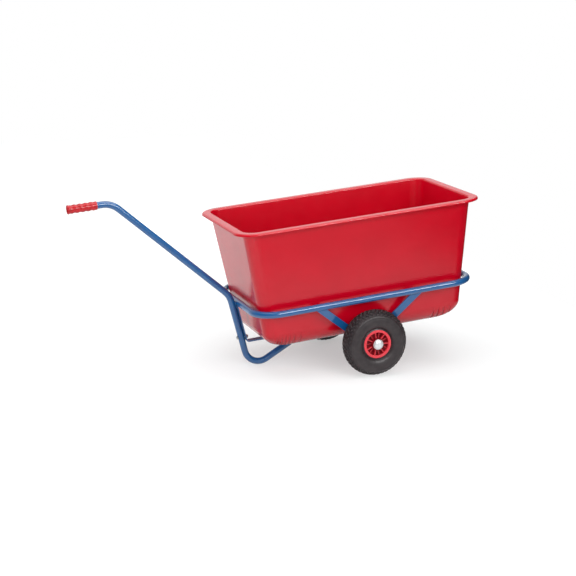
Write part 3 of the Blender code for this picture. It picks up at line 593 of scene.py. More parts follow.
def sweep(name: str, path: list[Vector], section: Profile, across: Vector,
          cyclic: bool = False, caps: bool = False,
          swell: Callable[[float], float] = lambda share: 1.0) -> Mesh:
    """Draws a section along a path.

    Args:
        name: the mesh's name.
        path: the points of the path, in a plane or nearly.
        section: the section's points, whose second coordinate runs along across.
        across: the direction at right angles to the path's plane.
        cyclic: whether the path's end joins its start.
        caps: whether the ends are filled.
        swell: how large the section is at each share of the path.

    Returns:
        The swept mesh.
    """
    loops = []
    count = len(path)
    for index, point in enumerate(path):
        directions = []
        if cyclic or index > 0:
            directions.append((point - path[index - 1]).normalized())
        if cyclic or index < count - 1:
            directions.append((path[(index + 1) % count] - point).normalized())
        tangent = sum(directions, Vector()).normalized()
        sideways = tangent.cross(across).normalized() / tangent.dot(directions[0])
        upright = sideways.cross(tangent).normalized()
        size = swell(index / (count - 1))
        loops.append([point + sideways * a * size + upright * b * size for a, b in section])
    return loft(name, loops, cyclic=cyclic, caps=caps)


def rounded_rectangle(half_length: float, half_width: float, radius: float, z: float,
                      corner_steps: int, long_stations: list[float],
                      short_stations: list[float]) -> Loop:
    """A level rectangle with round corners and extra points along its sides.

    Args:
        half_length: half its size along X.
        half_width: half its size along Y.
        radius: its corner radius.
        z: its height.
        corner_steps: how many pieces each corner has.
        long_stations: shares from -1 to 1 of the straight part along X that get points.
        short_stations: the same along Y.

    Returns:
        Its points, anticlockwise from its +X +Y corner.
    """
    straight_x, straight_y = half_length - radius, half_width - radius
    points = []
    for index, (sx, sy) in enumerate([(1, 1), (-1, 1), (-1, -1), (1, -1)]):
        for step in range(corner_steps + 1):
            angle = math.pi / 2 * (index + step / corner_steps)
            points.append(Vector((sx * straight_x + radius * math.cos(angle),
                                  sy * straight_y + radius * math.sin(angle), z)))
        if index % 2 == 0:
            points += [Vector((-sx * share * straight_x, sy * half_width, z))
                       for share in long_stations]
        else:
            points += [Vector((sx * half_length, -sy * share * straight_y, z))
                       for share in short_stations]
    return points


@dataclass(frozen=True)
class Stance:
    """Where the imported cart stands: its axle's middle, its wheels, and its tilt onto the foot."""

    axle: Vector
    track: float
    tilt: float

    @classmethod
    def of_frame(cls, joints: list[dict[str, Any]]) -> "Stance":
        """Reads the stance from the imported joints.

        Args:
            joints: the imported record's joints.

        Returns:
            The stance.
        """
        by_name = {joint["name"]: joint for joint in joints}
        wheel = by_name["wheel_near_spin"]["pos_m"]
        up = by_name["tub_lift"]["axis"]
        return cls(Vector((wheel[0], 0, wheel[2])), 2 * abs(wheel[1]), math.atan2(-up[0], up[2]))

    def cart(self) -> Matrix:
        """The place of the cart's level frame."""
        return Matrix.Translation(self.axle) @ Matrix.Rotation(-self.tilt, 4, 'Y')

    def wheel(self, side: Side, turn: float) -> Matrix:
        """The place of a wheel.

        Args:
            side: the wheel's side.
            turn: how far the wheel is turned about its axis, from upright.

        Returns:
            The place of a frame whose +Z points outboard along the axle.
        """
        place = Matrix.Translation((0, side.value * self.track / 2, 0))
        spin = Matrix.Rotation(self.tilt + turn, 4, 'Y')
        return self.cart() @ place @ spin @ Matrix.Rotation(-side.value * math.pi / 2, 4, 'X')


@dataclass
class Workshop:
    """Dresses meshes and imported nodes, and puts them on their bodies."""

    stance: Stance
    materials: dict[Surface, bpy.types.Material]

    @classmethod
    def opened(cls, stance: Stance) -> "Workshop":
        """Makes every finish once.

        Args:
            stance: where the cart stands.

        Returns:
            The workshop.
        """
        return cls(stance, {surface: finish.build() for surface, finish in FINISHES.items()})

    def put(self, name: str, mesh: Mesh, surface: Surface, body: Body,
            place: Optional[Matrix] = None, replaces: Iterable[str] = (),
            sharp_degrees: float = SHARP_DEGREES) -> bpy.types.Object:
        """Makes a piece from a mesh.

        Args:
            name: the piece's name.
            mesh: its mesh, in the frame that place puts in the world.
            surface: its finish.
            body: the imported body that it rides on.
            place: where its frame is, or None for the cart's own.
            replaces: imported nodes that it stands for.
            sharp_degrees: the angle from which an edge is sharp.

        Returns:
            The piece.
        """
        mesh.transform(self.stance.cart() if place is None else place)
        mesh.materials.append(self.materials[surface])
        mesh.shade_smooth()
        mesh.set_sharp_from_angle(angle=math.radians(sharp_degrees))
        piece = bpy.data.objects.new(name, mesh)
        bpy.context.scene.collection.objects.link(piece)
        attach(piece, body.value)
        if replaces:
            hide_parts(*replaces)
        LOG.info("%s: %d faces on %s", name, len(mesh.polygons), body.value)
        return piece

    def dress_node(self, name: str, surface: Surface, edge: float = 0.0) -> None:
        """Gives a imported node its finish, and breaks its edges if asked.

        Args:
            name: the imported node.
            surface: its finish.
            edge: the width of its rounded edges.
        """
        node = frame["nodes"][name]
        for slot in node.material_slots:
            slot.material = self.materials[surface]
        if edge:
            weld = node.modifiers.new("Weld", 'WELD')
            weld.merge_threshold = NODE_MERGE
            bevel = node.modifiers.new("Edge", 'BEVEL')
            bevel.width = edge
            bevel.segments = 3
            bevel.limit_method = 'ANGLE'
            bevel.angle_limit = math.radians(SHARP_DEGREES)
            bevel.harden_normals = True
        LOG.info("%s: packed node dressed", name)


@dataclass
class Tub:
    """The vacuum-formed tub: rolled rim, flat flange, tapered walls and swept-in bottom."""

    opening_length: float = 0.928
    opening_width: float = 0.498
    rim_height: float = 0.500
    setback: float = 0.0035
    wall: float = 0.004
    flange_width: float = 0.037
    lip_drop: float = 0.009
    lip_rounding: float = 0.0065
    rim_rounding: float = 0.006
    corner_radius: float = 0.050
    foot_corner_radius: float = 0.040
    floor_corner_radius: float = 0.030
    end_taper: float = 0.13
    side_taper: float = 0.10
    end_sweep: float = 0.100
    side_sweep: float = 0.070
    sweep_height: float = 0.070
    base_height: float = 0.0156
    trimmed_edge: float = 0.0012
    trimmed_degrees: float = 60.0
    fold_depth: float = 0.0060
    fold_half_width: float = 0.0042
    fold_top: float = 0.20
    fold_bottom: float = 1.35
    nose_folds: tuple[float, ...] = (0.290, 0.311, 0.334, 0.359)
    rear_folds: tuple[float, ...] = (0.270, 0.296, 0.315, 0.331, 0.346, 0.358, 0.368)
    rear_fold_share: float = 0.6
    folds_from: float = 0.68
    fold_points: int = 80
    plain_points: int = 20
    end_points: int = 14
    corner_steps: int = 30
    lip_steps: int = 5
    rim_steps: int = 7
    wall_steps: int = 12
    sweep_steps: int = 24

    @property
    def floor_depth(self) -> float:
        """How deep the inside of the floor is below the rim."""
        return self.rim_height - self.base_height - self.wall

    @property
    def wall_foot(self) -> float:
        """The depth at which the straight walls start to sweep in."""
        return self.floor_depth - self.sweep_height

    def half_sizes(self, depth: float) -> tuple[float, float]:
        """Half the inside length and width of the straight walls at a depth."""
        return (self.opening_length / 2 - self.end_taper * depth,
                self.opening_width / 2 - self.side_taper * depth)

    def sections(self) -> list[tuple[float, float, float, float, float]]:
        """The inside of the sheet from the lip down to the floor.

        Returns:
            Half length, half width, corner radius, depth and angle of sweep of each level.
        """
        length, width = self.opening_length / 2, self.opening_width / 2
        flange_radius = self.corner_radius + self.flange_width
        rows = [(length + self.flange_width, width + self.flange_width, flange_radius,
                 self.lip_drop, 0.0)]
        for step in range(self.lip_steps + 1):
            angle = math.pi / 2 * step / self.lip_steps
            inset = self.lip_rounding * (1 - math.cos(angle))
            drop = self.lip_rounding * (1 - math.sin(angle))
            outset = self.flange_width - inset
            rows.append((length + outset, width + outset, flange_radius - inset, drop, 0.0))
        outset = (self.rim_rounding + self.flange_width) / 2
        rows.append((length + outset, width + outset, self.corner_radius + outset, 0.0, 0.0))
        for step in range(self.rim_steps + 1):
            angle = math.pi / 2 * step / self.rim_steps
            outset = self.rim_rounding * (1 - math.sin(angle))
            drop = self.rim_rounding * (1 - math.cos(angle))
            rows.append((length + outset, width + outset, self.corner_radius + outset, drop, 0.0))
        for step in range(1, self.wall_steps):
            run = self.wall_foot - self.rim_rounding
            depth = self.rim_rounding + run * step / self.wall_steps
            half_length, half_width = self.half_sizes(depth)
            shrink = (self.corner_radius - self.foot_corner_radius) * depth / self.wall_foot
            rows.append((half_length, half_width, self.corner_radius - shrink, depth, 0.0))
        foot_length, foot_width = self.half_sizes(self.wall_foot)
        for step in range(self.sweep_steps + 1):
            angle = math.pi / 2 * step / self.sweep_steps
            inward = 1 - math.cos(angle)
            rows.append((foot_length - self.end_sweep * inward,
                         foot_width - self.side_sweep * inward,
                         self.foot_corner_radius
                         - (self.foot_corner_radius - self.floor_corner_radius) * inward,
                         self.wall_foot + self.sweep_height * math.sin(angle), angle))
        return rows

    def stations(self) -> list[float]:
        """Shares of the long sides that get points, close together where the folds are.

        Returns:
            The shares, from -1 to 1.
        """
        start = self.folds_from
        ends = [start + (1 - start) * (index + 0.5) / self.fold_points
                for index in range(self.fold_points)]
        middle = [start * (2 * index / self.plain_points - 1)
                  for index in range(self.plain_points + 1)]
        return [-share for share in reversed(ends)] + middle + ends

    def fold(self, x: float, sweep: float) -> float:
        """How far the sheet is drawn in by the folds low on a long side.

        Args:
            x: the place along the tub, from its middle.
            sweep: the angle of the bottom sweep there, zero at its top.

        Returns:
            The inward distance.
        """
        share = (sweep - self.fold_top) / (self.fold_bottom - self.fold_top)
        if not 0 < share < 1:
            return 0.0
        places, strength = ((self.nose_folds, 1.0) if x > 0
                            else (self.rear_folds, self.rear_fold_share))
        near = max(max(0.0, 1 - abs(abs(x) - place) / self.fold_half_width) for place in places)
        return strength * near * self.fold_depth * math.sin(math.pi * share)

    def folded(self, loop: Loop, sweep: float) -> tuple[Loop, list[float]]:
        """Draws one level of the sweep in along the folds.

        Args:
            loop: the level's points, anticlockwise.
            sweep: the level's angle of sweep.

        Returns:
            The moved points, and how deep in a fold each is as a share of a full one.
        """
        moved, shares = [], []
        count = len(loop)
        for index, point in enumerate(loop):
            along = (loop[(index + 1) % count] - loop[index - 1]).normalized()
            sideways = along.x * along.x
            depth = self.fold(point.x, sweep) * sideways
            shares.append(depth / self.fold_depth)
            inward = Vector((-along.y, along.x, 0)) * math.cos(sweep)
            moved.append(point + (inward + Vector((0, 0, math.sin(sweep)))) * depth)
        return moved, shares

    def shell(self) -> Mesh:
        """Makes the inside of the sheet, with how deep each of its points is in a fold.

        Returns:
            The sheet's inside, facing up.
        """
        long_stations = self.stations()
        short_stations = [-1 + 2 * (index + 0.5) / self.end_points
                          for index in range(self.end_points)]
        loops: list[Loop] = []
        shares: list[float] = []
        for half_length, half_width, radius, depth, sweep in self.sections():
            loop = rounded_rectangle(half_length, half_width, radius, -depth, self.corner_steps,
                                     long_stations, short_stations)
            moved, deep = self.folded(loop, sweep)
            loops.append(moved)
            shares += deep
        bm = bmesh.new()
        skin(bm, loops)
        bm.verts.ensure_lookup_table()
        count = len(loops[0])
        bm.faces.new([bm.verts[len(bm.verts) - count + index] for index in range(count)])
        bmesh.ops.recalc_face_normals(bm, faces=bm.faces)
        bm.normal_update()
        if sum(face.normal.z * face.calc_area() for face in bm.faces) < 0:
            bmesh.ops.reverse_faces(bm, faces=bm.faces)
        mesh = bpy.data.meshes.new("tub_shell")
        bm.to_mesh(mesh)
        bm.free()
        layer = mesh.attributes.new(FOLD_LAYER, 'FLOAT', 'POINT')
        for index, share in enumerate(shares):
            layer.data[index].value = share
        return mesh

    def build(self, shop: Workshop) -> None:
        """Makes the tub, gives it its thickness and puts it on its body.

        Args:
            shop: the workshop that dresses it.
        """
        place = shop.stance.cart() @ Matrix.Translation((-self.setback, 0, self.rim_height))
        tub = shop.put("tub_shell", self.shell(), Surface.TUB, Body.TUB, place, ["tub"],
                       SMOOTH_DEGREES)
        sheet = tub.modifiers.new("Sheet", 'SOLIDIFY')
        sheet.thickness = self.wall
        sheet.offset = -1
        sheet.use_even_offset = True
        edge = tub.modifiers.new("Trimmed edge", 'BEVEL')
        edge.width = self.trimmed_edge
        edge.segments = 2
        edge.limit_method = 'ANGLE'
        edge.angle_limit = math.radians(self.trimmed_degrees)


@dataclass
class FrameRing:
    """The closed tube loop that the tub hangs in."""

    tub: Tub
    height: float = 0.174
    end_play: float = 0.0095
    side_play: float = 0.0285
    corner_radius: float = 0.095
    corner_steps: int = 22
    weld_place: float = 0.060
    weld_radius: float = 0.0014
    weld_sink: float = 0.0004
    weld_sides: int = 8
    weld_steps: int = 48
    weld_ripples: int = 20
    ripple_depth: float = 0.12

    @property
    def half_length(self) -> float:
        """Half the length between centre lines."""
        inside = self.tub.half_sizes(self.tub.rim_height - self.height)[0]
        return inside + self.tub.wall + self.end_play + TUBE_RADIUS

    @property
    def half_width(self) -> float:
        """Half the width between centre lines."""
        inside = self.tub.half_sizes(self.tub.rim_height - self.height)[1]
        return inside + self.tub.wall + self.side_play + TUBE_RADIUS

    @property
    def rear(self) -> float:
        """Where the rear run's centre line is."""
        return -self.tub.setback - self.half_length

    @property
    def front(self) -> float:
        """Where the front run's centre line is."""
        return -self.tub.setback + self.half_length

    def build(self, shop: Workshop) -> None:
        """Makes the loop and the seam of the tube that it is bent from.

        Args:
            shop: the workshop that dresses it.
        """
        path = rounded_rectangle(self.half_length, self.half_width, self.corner_radius,
                                 self.height, self.corner_steps, [], [])
        path = [point - Vector((self.tub.setback, 0, 0)) for point in path]
        mesh = sweep("ring_tube", path, round_section(TUBE_RADIUS), Z_AXIS, cyclic=True)
        shop.put("ring_tube", mesh, Surface.PAINT, Body.FRAME, None, ["frame_ring"])
        self.butt_weld(shop)

    def butt_weld(self, shop: Workshop) -> None:
        """Adds the weld that closes the loop, on its front run.

        Args:
            shop: the workshop that dresses it.
        """
        def swell(share: float) -> float:
            """The bead's size round the tube."""
            return 1 + self.ripple_depth * math.sin(2 * math.pi * self.weld_ripples * share)

        circle = round_section(TUBE_RADIUS - self.weld_sink, self.weld_steps)
        path = [Vector((self.front + a, self.weld_place, self.height + b)) for a, b in circle]
        mesh = sweep("ring_butt_weld", path, round_section(self.weld_radius, self.weld_sides),
                     Y_AXIS, cyclic=True, swell=swell)
        shop.put("ring_butt_weld", mesh, Surface.PAINT, Body.FRAME)


@dataclass
class Handle:
    """Drawbar, leg and foot loop, bent from one tube, with its grip and end plug."""

    ring: FrameRing
    gap: float = 0.0003
    grip_height: float = 0.639
    slope: float = math.radians(45.5)
    bend_radius: float = 0.085
    leg_bend_above_ring: float = 0.033
    leg_lean: float = math.radians(10.0)
    foot_radius: float = 0.060
    foot_rise: float = math.radians(25.5)
    tail_length: float = 0.112
    grip_reach: float = 0.1645

    def leg_x(self, z: float) -> float:
        """Where the leg's centre line is at a height."""
        at_ring = self.ring.rear - (2 * TUBE_RADIUS + self.gap) / math.cos(self.leg_lean)
        return at_ring + math.tan(self.leg_lean) * (self.ring.height - z)

    def foot_centre(self, tilt: float) -> Vector:
        """The middle of the foot bend, whose underside is on the floor.

        Args:
            tilt: the cart's tilt back onto the foot.

        Returns:
            The centre of the bend.
        """
        normal = Vector((math.cos(self.leg_lean), 0, math.sin(self.leg_lean)))
        normal *= self.foot_radius
        lean = math.tan(self.leg_lean)
        reach = self.foot_radius + TUBE_RADIUS - WHEEL_RADIUS
        level_part = (self.leg_x(0) + normal.x) * math.sin(tilt)
        height = ((reach - level_part - normal.z * math.cos(tilt))
                  / (math.cos(tilt) - lean * math.sin(tilt)))
        return Vector((self.leg_x(height), 0, height)) + normal

    def corners(self, tilt: float) -> list[Vector]:
        """The tube's corners before bending, from the grip to the foot's open end.

        Args:
            tilt: the cart's tilt back onto the foot.

        Returns:
            The five corners.
        """
        leg_top = self.ring.height + self.leg_bend_above_ring
        lower = Vector((self.leg_x(leg_top), 0, leg_top))
        run = (self.grip_height - leg_top) / math.tan(self.slope)
        upper = Vector((lower.x - run, 0, self.grip_height))
        start = upper - Vector((self.grip_reach, 0, 0))
        down = Vector((math.sin(self.leg_lean), 0, -math.cos(self.leg_lean)))
        up = Vector((math.cos(self.foot_rise), 0, math.sin(self.foot_rise)))
        half_turn = down.angle(up) / 2
        outward = (down - up).normalized() * self.foot_radius / math.cos(half_turn)
        foot = self.foot_centre(tilt) + outward
        tail = foot + up * (self.foot_radius * math.tan(half_turn) + self.tail_length)
        return [start, upper, lower, foot, tail]

    def build(self, shop: Workshop) -> None:
        """Makes the tube, the grip and the plug.

        Args:
            shop: the workshop that dresses them.
        """
        corners = self.corners(shop.stance.tilt)
        radii = [self.bend_radius, self.bend_radius, self.foot_radius]
        mesh = sweep("handle_bent_tube", bend_points(corners, radii),
                     round_section(TUBE_RADIUS), Y_AXIS, caps=True)
        shop.put("handle_bent_tube", mesh, Surface.PAINT, Body.FRAME, None, ["handle_tube"])
        Grip().build(shop, corners[0])
        EndPlug().build(shop, corners[-2], corners[-1])


@dataclass
class Grip:
    """The moulded grip: a wavy sleeve with a flared rim round its dished end."""

    length: float = 0.112
    radius: float = 0.0160
    wave_depth: float = 0.0008
    counter_wave: float = 0.35
    waves: int = 5
    wave_steps: int = 12
    wave_fade: float = 8.0
    flare_radius: float = 0.0175
    flare_length: float = 0.006
    end_thickness: float = 0.0042
    dish_radius: float = 0.0135
    dish_depth: float = 0.003
    rounding: float = 0.001
    lip_rounding: float = 0.0012
    lip_inset: float = 0.0015
    overlap: float = 0.0005
    sides: int = 48

    def profile(self, angle: float) -> Profile:
        """The sleeve's outline at one angle round the tube.

        Args:
            angle: the angle round the grip.

        Returns:
            Radius and height, from the dished end to the tube.
        """
        end = self.end_thickness
        dish = end - self.dish_depth
        low = end - self.flare_length
        run = self.length - self.flare_length
        points = [(0.0, dish)]
        points += arc((self.dish_radius - self.rounding, dish + self.rounding), self.rounding,
                      -90, 0, 3)
        points += arc((self.flare_radius - self.lip_inset, end - self.lip_rounding),
                      self.lip_rounding, 90, 0, 4)
        points.append((self.flare_radius, low + self.lip_inset))
        samples = self.waves * self.wave_steps
        for index in range(samples + 1):
            share = index / samples
            phase = 2 * math.pi * self.waves * share
            helix = math.cos(phase + angle) + self.counter_wave * math.cos(phase - angle)
            fade = min(1.0, self.wave_fade * share, self.wave_fade * (1 - share))
            points.append((self.radius + self.wave_depth * helix * fade, low - run * share))
        bottom = low - run
        points += arc((self.radius - self.rounding, bottom), self.rounding, 0, -90, 3)
        points.append((TUBE_RADIUS - self.overlap, bottom - self.rounding))
        return points

    def build(self, shop: Workshop, tube_end: Vector) -> None:
        """Makes the grip over the end of the drawbar.

        Args:
            shop: the workshop that dresses it.
            tube_end: where the tube ends.
        """
        loops = []
        for step in range(self.sides):
            angle = 2 * math.pi * step / self.sides
            loops.append([Vector((r * math.cos(angle), r * math.sin(angle), z))
                          for r, z in self.profile(angle)])
        mesh = loft("grip_sleeve", loops, closed=False, cyclic=True)
        place = (shop.stance.cart() @ Matrix.Translation(tube_end)
                 @ Matrix.Rotation(-math.pi / 2, 4, 'Y'))
        shop.put("grip_sleeve", mesh, Surface.GRIP, Body.FRAME, place, ["grip"], SMOOTH_DEGREES)


@dataclass
class EndPlug:
    """The plug in the foot's open end: a cap with rounded edge over a ribbed stem."""

    cap_thickness: float = 0.0028
    edge: float = 0.0012
    stem_radius: float = 0.0107
    stem_length: float = 0.014
    ribs: int = 3
    rib_run: float = 0.001
    rib_rise: float = 0.0008

    def build(self, shop: Workshop, foot: Vector, tail: Vector) -> None:
        """Makes the plug at the end of the foot's tail.

        Args:
            shop: the workshop that dresses it.
            foot: the corner before the tail.
            tail: where the tube ends.
        """
        top = self.cap_thickness
        profile = [(0.0, top)]
        profile += arc((TUBE_RADIUS - self.edge, top - self.edge), self.edge, 90, 0, 4)
        profile += [(TUBE_RADIUS, 0.0), (self.stem_radius, 0.0)]
        for rib in range(self.ribs):
            low = -self.stem_length * (rib + 1) / self.ribs
            profile += [(self.stem_radius, low + self.rib_run),
                        (self.stem_radius - self.rib_rise, low)]
        profile.append((0.0, -self.stem_length))
        mesh = revolve("end_plug", profile, TUBE_SIDES, closed=False)
        aim = Z_AXIS.rotation_difference(tail - foot).to_matrix().to_4x4()
        place = shop.stance.cart() @ Matrix.Translation(tail) @ aim
        shop.put("end_plug", mesh, Surface.BLACK, Body.FRAME, place, ["foot_plug"])


@dataclass
class Undercarriage:
    """The flat bars under the ring, the leg's fastener, and the weld beads that join them."""

    handle: Handle
    strut_width: float = 0.028
    strut_run: float = 0.212
    crossing_drop: float = 0.0225
    lug_length: float = 0.034
    lug_face: float = 0.2055
    bar_edge: float = 0.0010
    nut_edge: float = 0.0006
    ripple_pitch: float = 0.0032
    ripple_depth: float = 0.13
    ripple_samples: int = 4
    bead_sides: int = 10
    # A bead's ends start at this share of its size, and grow at this rate per share of its length.
    bead_end_size: float = 0.35
    bead_end_rise: float = 14.0
    strut_bead_lift: float = 0.0006
    strut_bead_turn: float = 0.10
    strut_bead_inset: float = 0.003
    strap_bead_radius: float = 0.0022
    strap_bead_lift: float = 0.0004
    strap_bead_inset: float = 0.001
    strap_inner_angle: float = 0.42
    strap_outer_angle: float = 0.20
    leg_bead_radius: float = 0.0030
    leg_bead_half: float = 0.0072
    leg_bead_apart: float = 0.0062
    axle_bead_radius: float = 0.0019
    axle_bead_lift: float = 0.0012
    axle_bead_out: float = 0.0006
    # The axle's weld runs round its underside, between two angles in degrees.
    axle_bead_span: tuple[float, float] = (200, 340)
    axle_bead_steps: int = 40

    def bead(self, shop: Workshop, name: str, path: list[Vector], across: Vector,
             radius: float = WELD_RADIUS) -> None:
        """Lays a rippled weld bead along a line.

        Args:
            shop: the workshop that dresses it.
            name: the bead's name.
            path: its two ends, or more points.
            across: a direction at right angles to it.
            radius: how thick it is.
        """
        points = []
        for start, end in zip(path, path[1:]):
            step_length = self.ripple_pitch / self.ripple_samples
            steps = max(2, round((end - start).length / step_length))
            points += [start.lerp(end, step / steps) for step in range(steps)]
        points.append(path[-1])
        length = sum((b - a).length for a, b in zip(points, points[1:]))
        ripples = length / self.ripple_pitch

        def swell(share: float) -> float:
            """The bead's size along its length, rounded off at both ends.

            Args:
                share: the share of its length.

            Returns:
                Its size there, as a share of its radius.
            """
            nearest = min(share, 1 - share)
            ends = min(1.0, self.bead_end_rise * nearest + self.bead_end_size)
            return ends * (1 + self.ripple_depth * math.sin(2 * math.pi * ripples * share))

        mesh = sweep(name, points, round_section(radius, self.bead_sides), across, caps=True,
                     swell=swell)
        shop.put(name, mesh, Surface.PAINT, Body.FRAME)

    def strut_beads(self, shop: Workshop, side: Side, end: int) -> None:
        """Welds a strut's top to the ring, on both of its faces.

        Args:
            shop: the workshop that dresses them.
            side: the strut's side.
            end: -1 for the rear strut and 1 for the front one.
        """
        ring = self.handle.ring
        label = f"{'front' if end > 0 else 'rear'}_{side.label}"
        head_x = end * self.strut_run - ring.tub.setback
        drop = ring.height + self.crossing_drop
        length = math.hypot(head_x, drop)
        lug_y = self.lug_face - BAR_THICKNESS / 2
        lug_height = self.lug_length * drop / length - self.crossing_drop
        inward = math.atan2(ring.half_width - lug_y, ring.height - lug_height)
        reach = TUBE_RADIUS + self.strut_bead_lift
        turn = math.asin(BAR_THICKNESS / 2 / TUBE_RADIUS) + self.strut_bead_turn
        half = self.strut_width / 2 * length / drop - self.strut_bead_inset
        for face, angle in (("out", inward - turn), ("in", inward + turn)):
            y = side.value * (ring.half_width - reach * math.sin(angle))
            z = ring.height - reach * math.cos(angle)
            middle = head_x * (z + self.crossing_drop) / drop
            self.bead(shop, f"weld_strut_{label}_{face}",
                      [Vector((middle - half, y, z)), Vector((middle + half, y, z))], Z_AXIS)

    def strap_beads(self, shop: Workshop) -> None:
        """Welds the strap's two ends to the ring.

        Args:
            shop: the workshop that dresses the beads.
        """
        ring = self.handle.ring
        half = BAR_WIDTH / 2 - self.strap_bead_inset
        reach = TUBE_RADIUS + self.strap_bead_lift
        for name, x, lean in (("rear", ring.rear, -1), ("front", ring.front, 1)):
            for face, angle in (("in", -lean * self.strap_inner_angle),
                                ("out", lean * self.strap_outer_angle)):
                place_x = x + reach * math.sin(angle)
                z = ring.height - reach * math.cos(angle)
                self.bead(shop, f"weld_strap_{name}_{face}",
                          [Vector((place_x, -half, z)), Vector((place_x, half, z))],
                          Z_AXIS, self.strap_bead_radius)

    def leg_beads(self, shop: Workshop) -> None:
        """Welds the ring's rear run to the leg, on both sides of where they touch.

        Args:
            shop: the workshop that dresses the beads.
        """
        ring = self.handle.ring
        x = (ring.rear + self.handle.leg_x(ring.height)) / 2
        lean = math.tan(self.handle.leg_lean)
        reach = self.leg_bead_half
        for side in Side:
            y = side.value * self.leg_bead_apart
            path = [Vector((x + lean * reach * -sign, y, ring.height + sign * reach))
                    for sign in (1, -1)]
            self.bead(shop, f"weld_leg_{side.label}", path, Y_AXIS, self.leg_bead_radius)

    def axle_beads(self, shop: Workshop, side: Side) -> None:
        """Welds the axle into the struts' notches, round its outboard side.

        Args:
            shop: the workshop that dresses it.
            side: the struts' side.
        """
        circle = arc((0, 0), AXLE_RADIUS + self.axle_bead_lift, *self.axle_bead_span,
                     self.axle_bead_steps)
        y = side.value * (self.lug_face + self.axle_bead_out)
        path = [Vector((a, y, b)) for a, b in circle]
        self.bead(shop, f"weld_axle_{side.label}", path, Y_AXIS, self.axle_bead_radius)

    def build(self, shop: Workshop) -> None:
        """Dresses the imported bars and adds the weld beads.

        Args:
            shop: the workshop that dresses them.
        """
        shop.dress_node("cradle_strap", Surface.PAINT, self.bar_edge)
        for side in Side:
            for end, word in ((-1, "rear"), (1, "front")):
                shop.dress_node(f"strut_{word}_{side.label}", Surface.PAINT, self.bar_edge)
                self.strut_beads(shop, side, end)
            self.axle_beads(shop, side)
            for name in ("spacer", "hub_washer"):
                shop.dress_node(f"{name}_{side.label}", Surface.ZINC)
        self.strap_beads(shop)
        self.leg_beads(shop)
        shop.dress_node("axle", Surface.STEEL)
        shop.dress_node("leg_bolt", Surface.ZINC)
        shop.dress_node("leg_nut", Surface.ZINC, self.nut_edge)


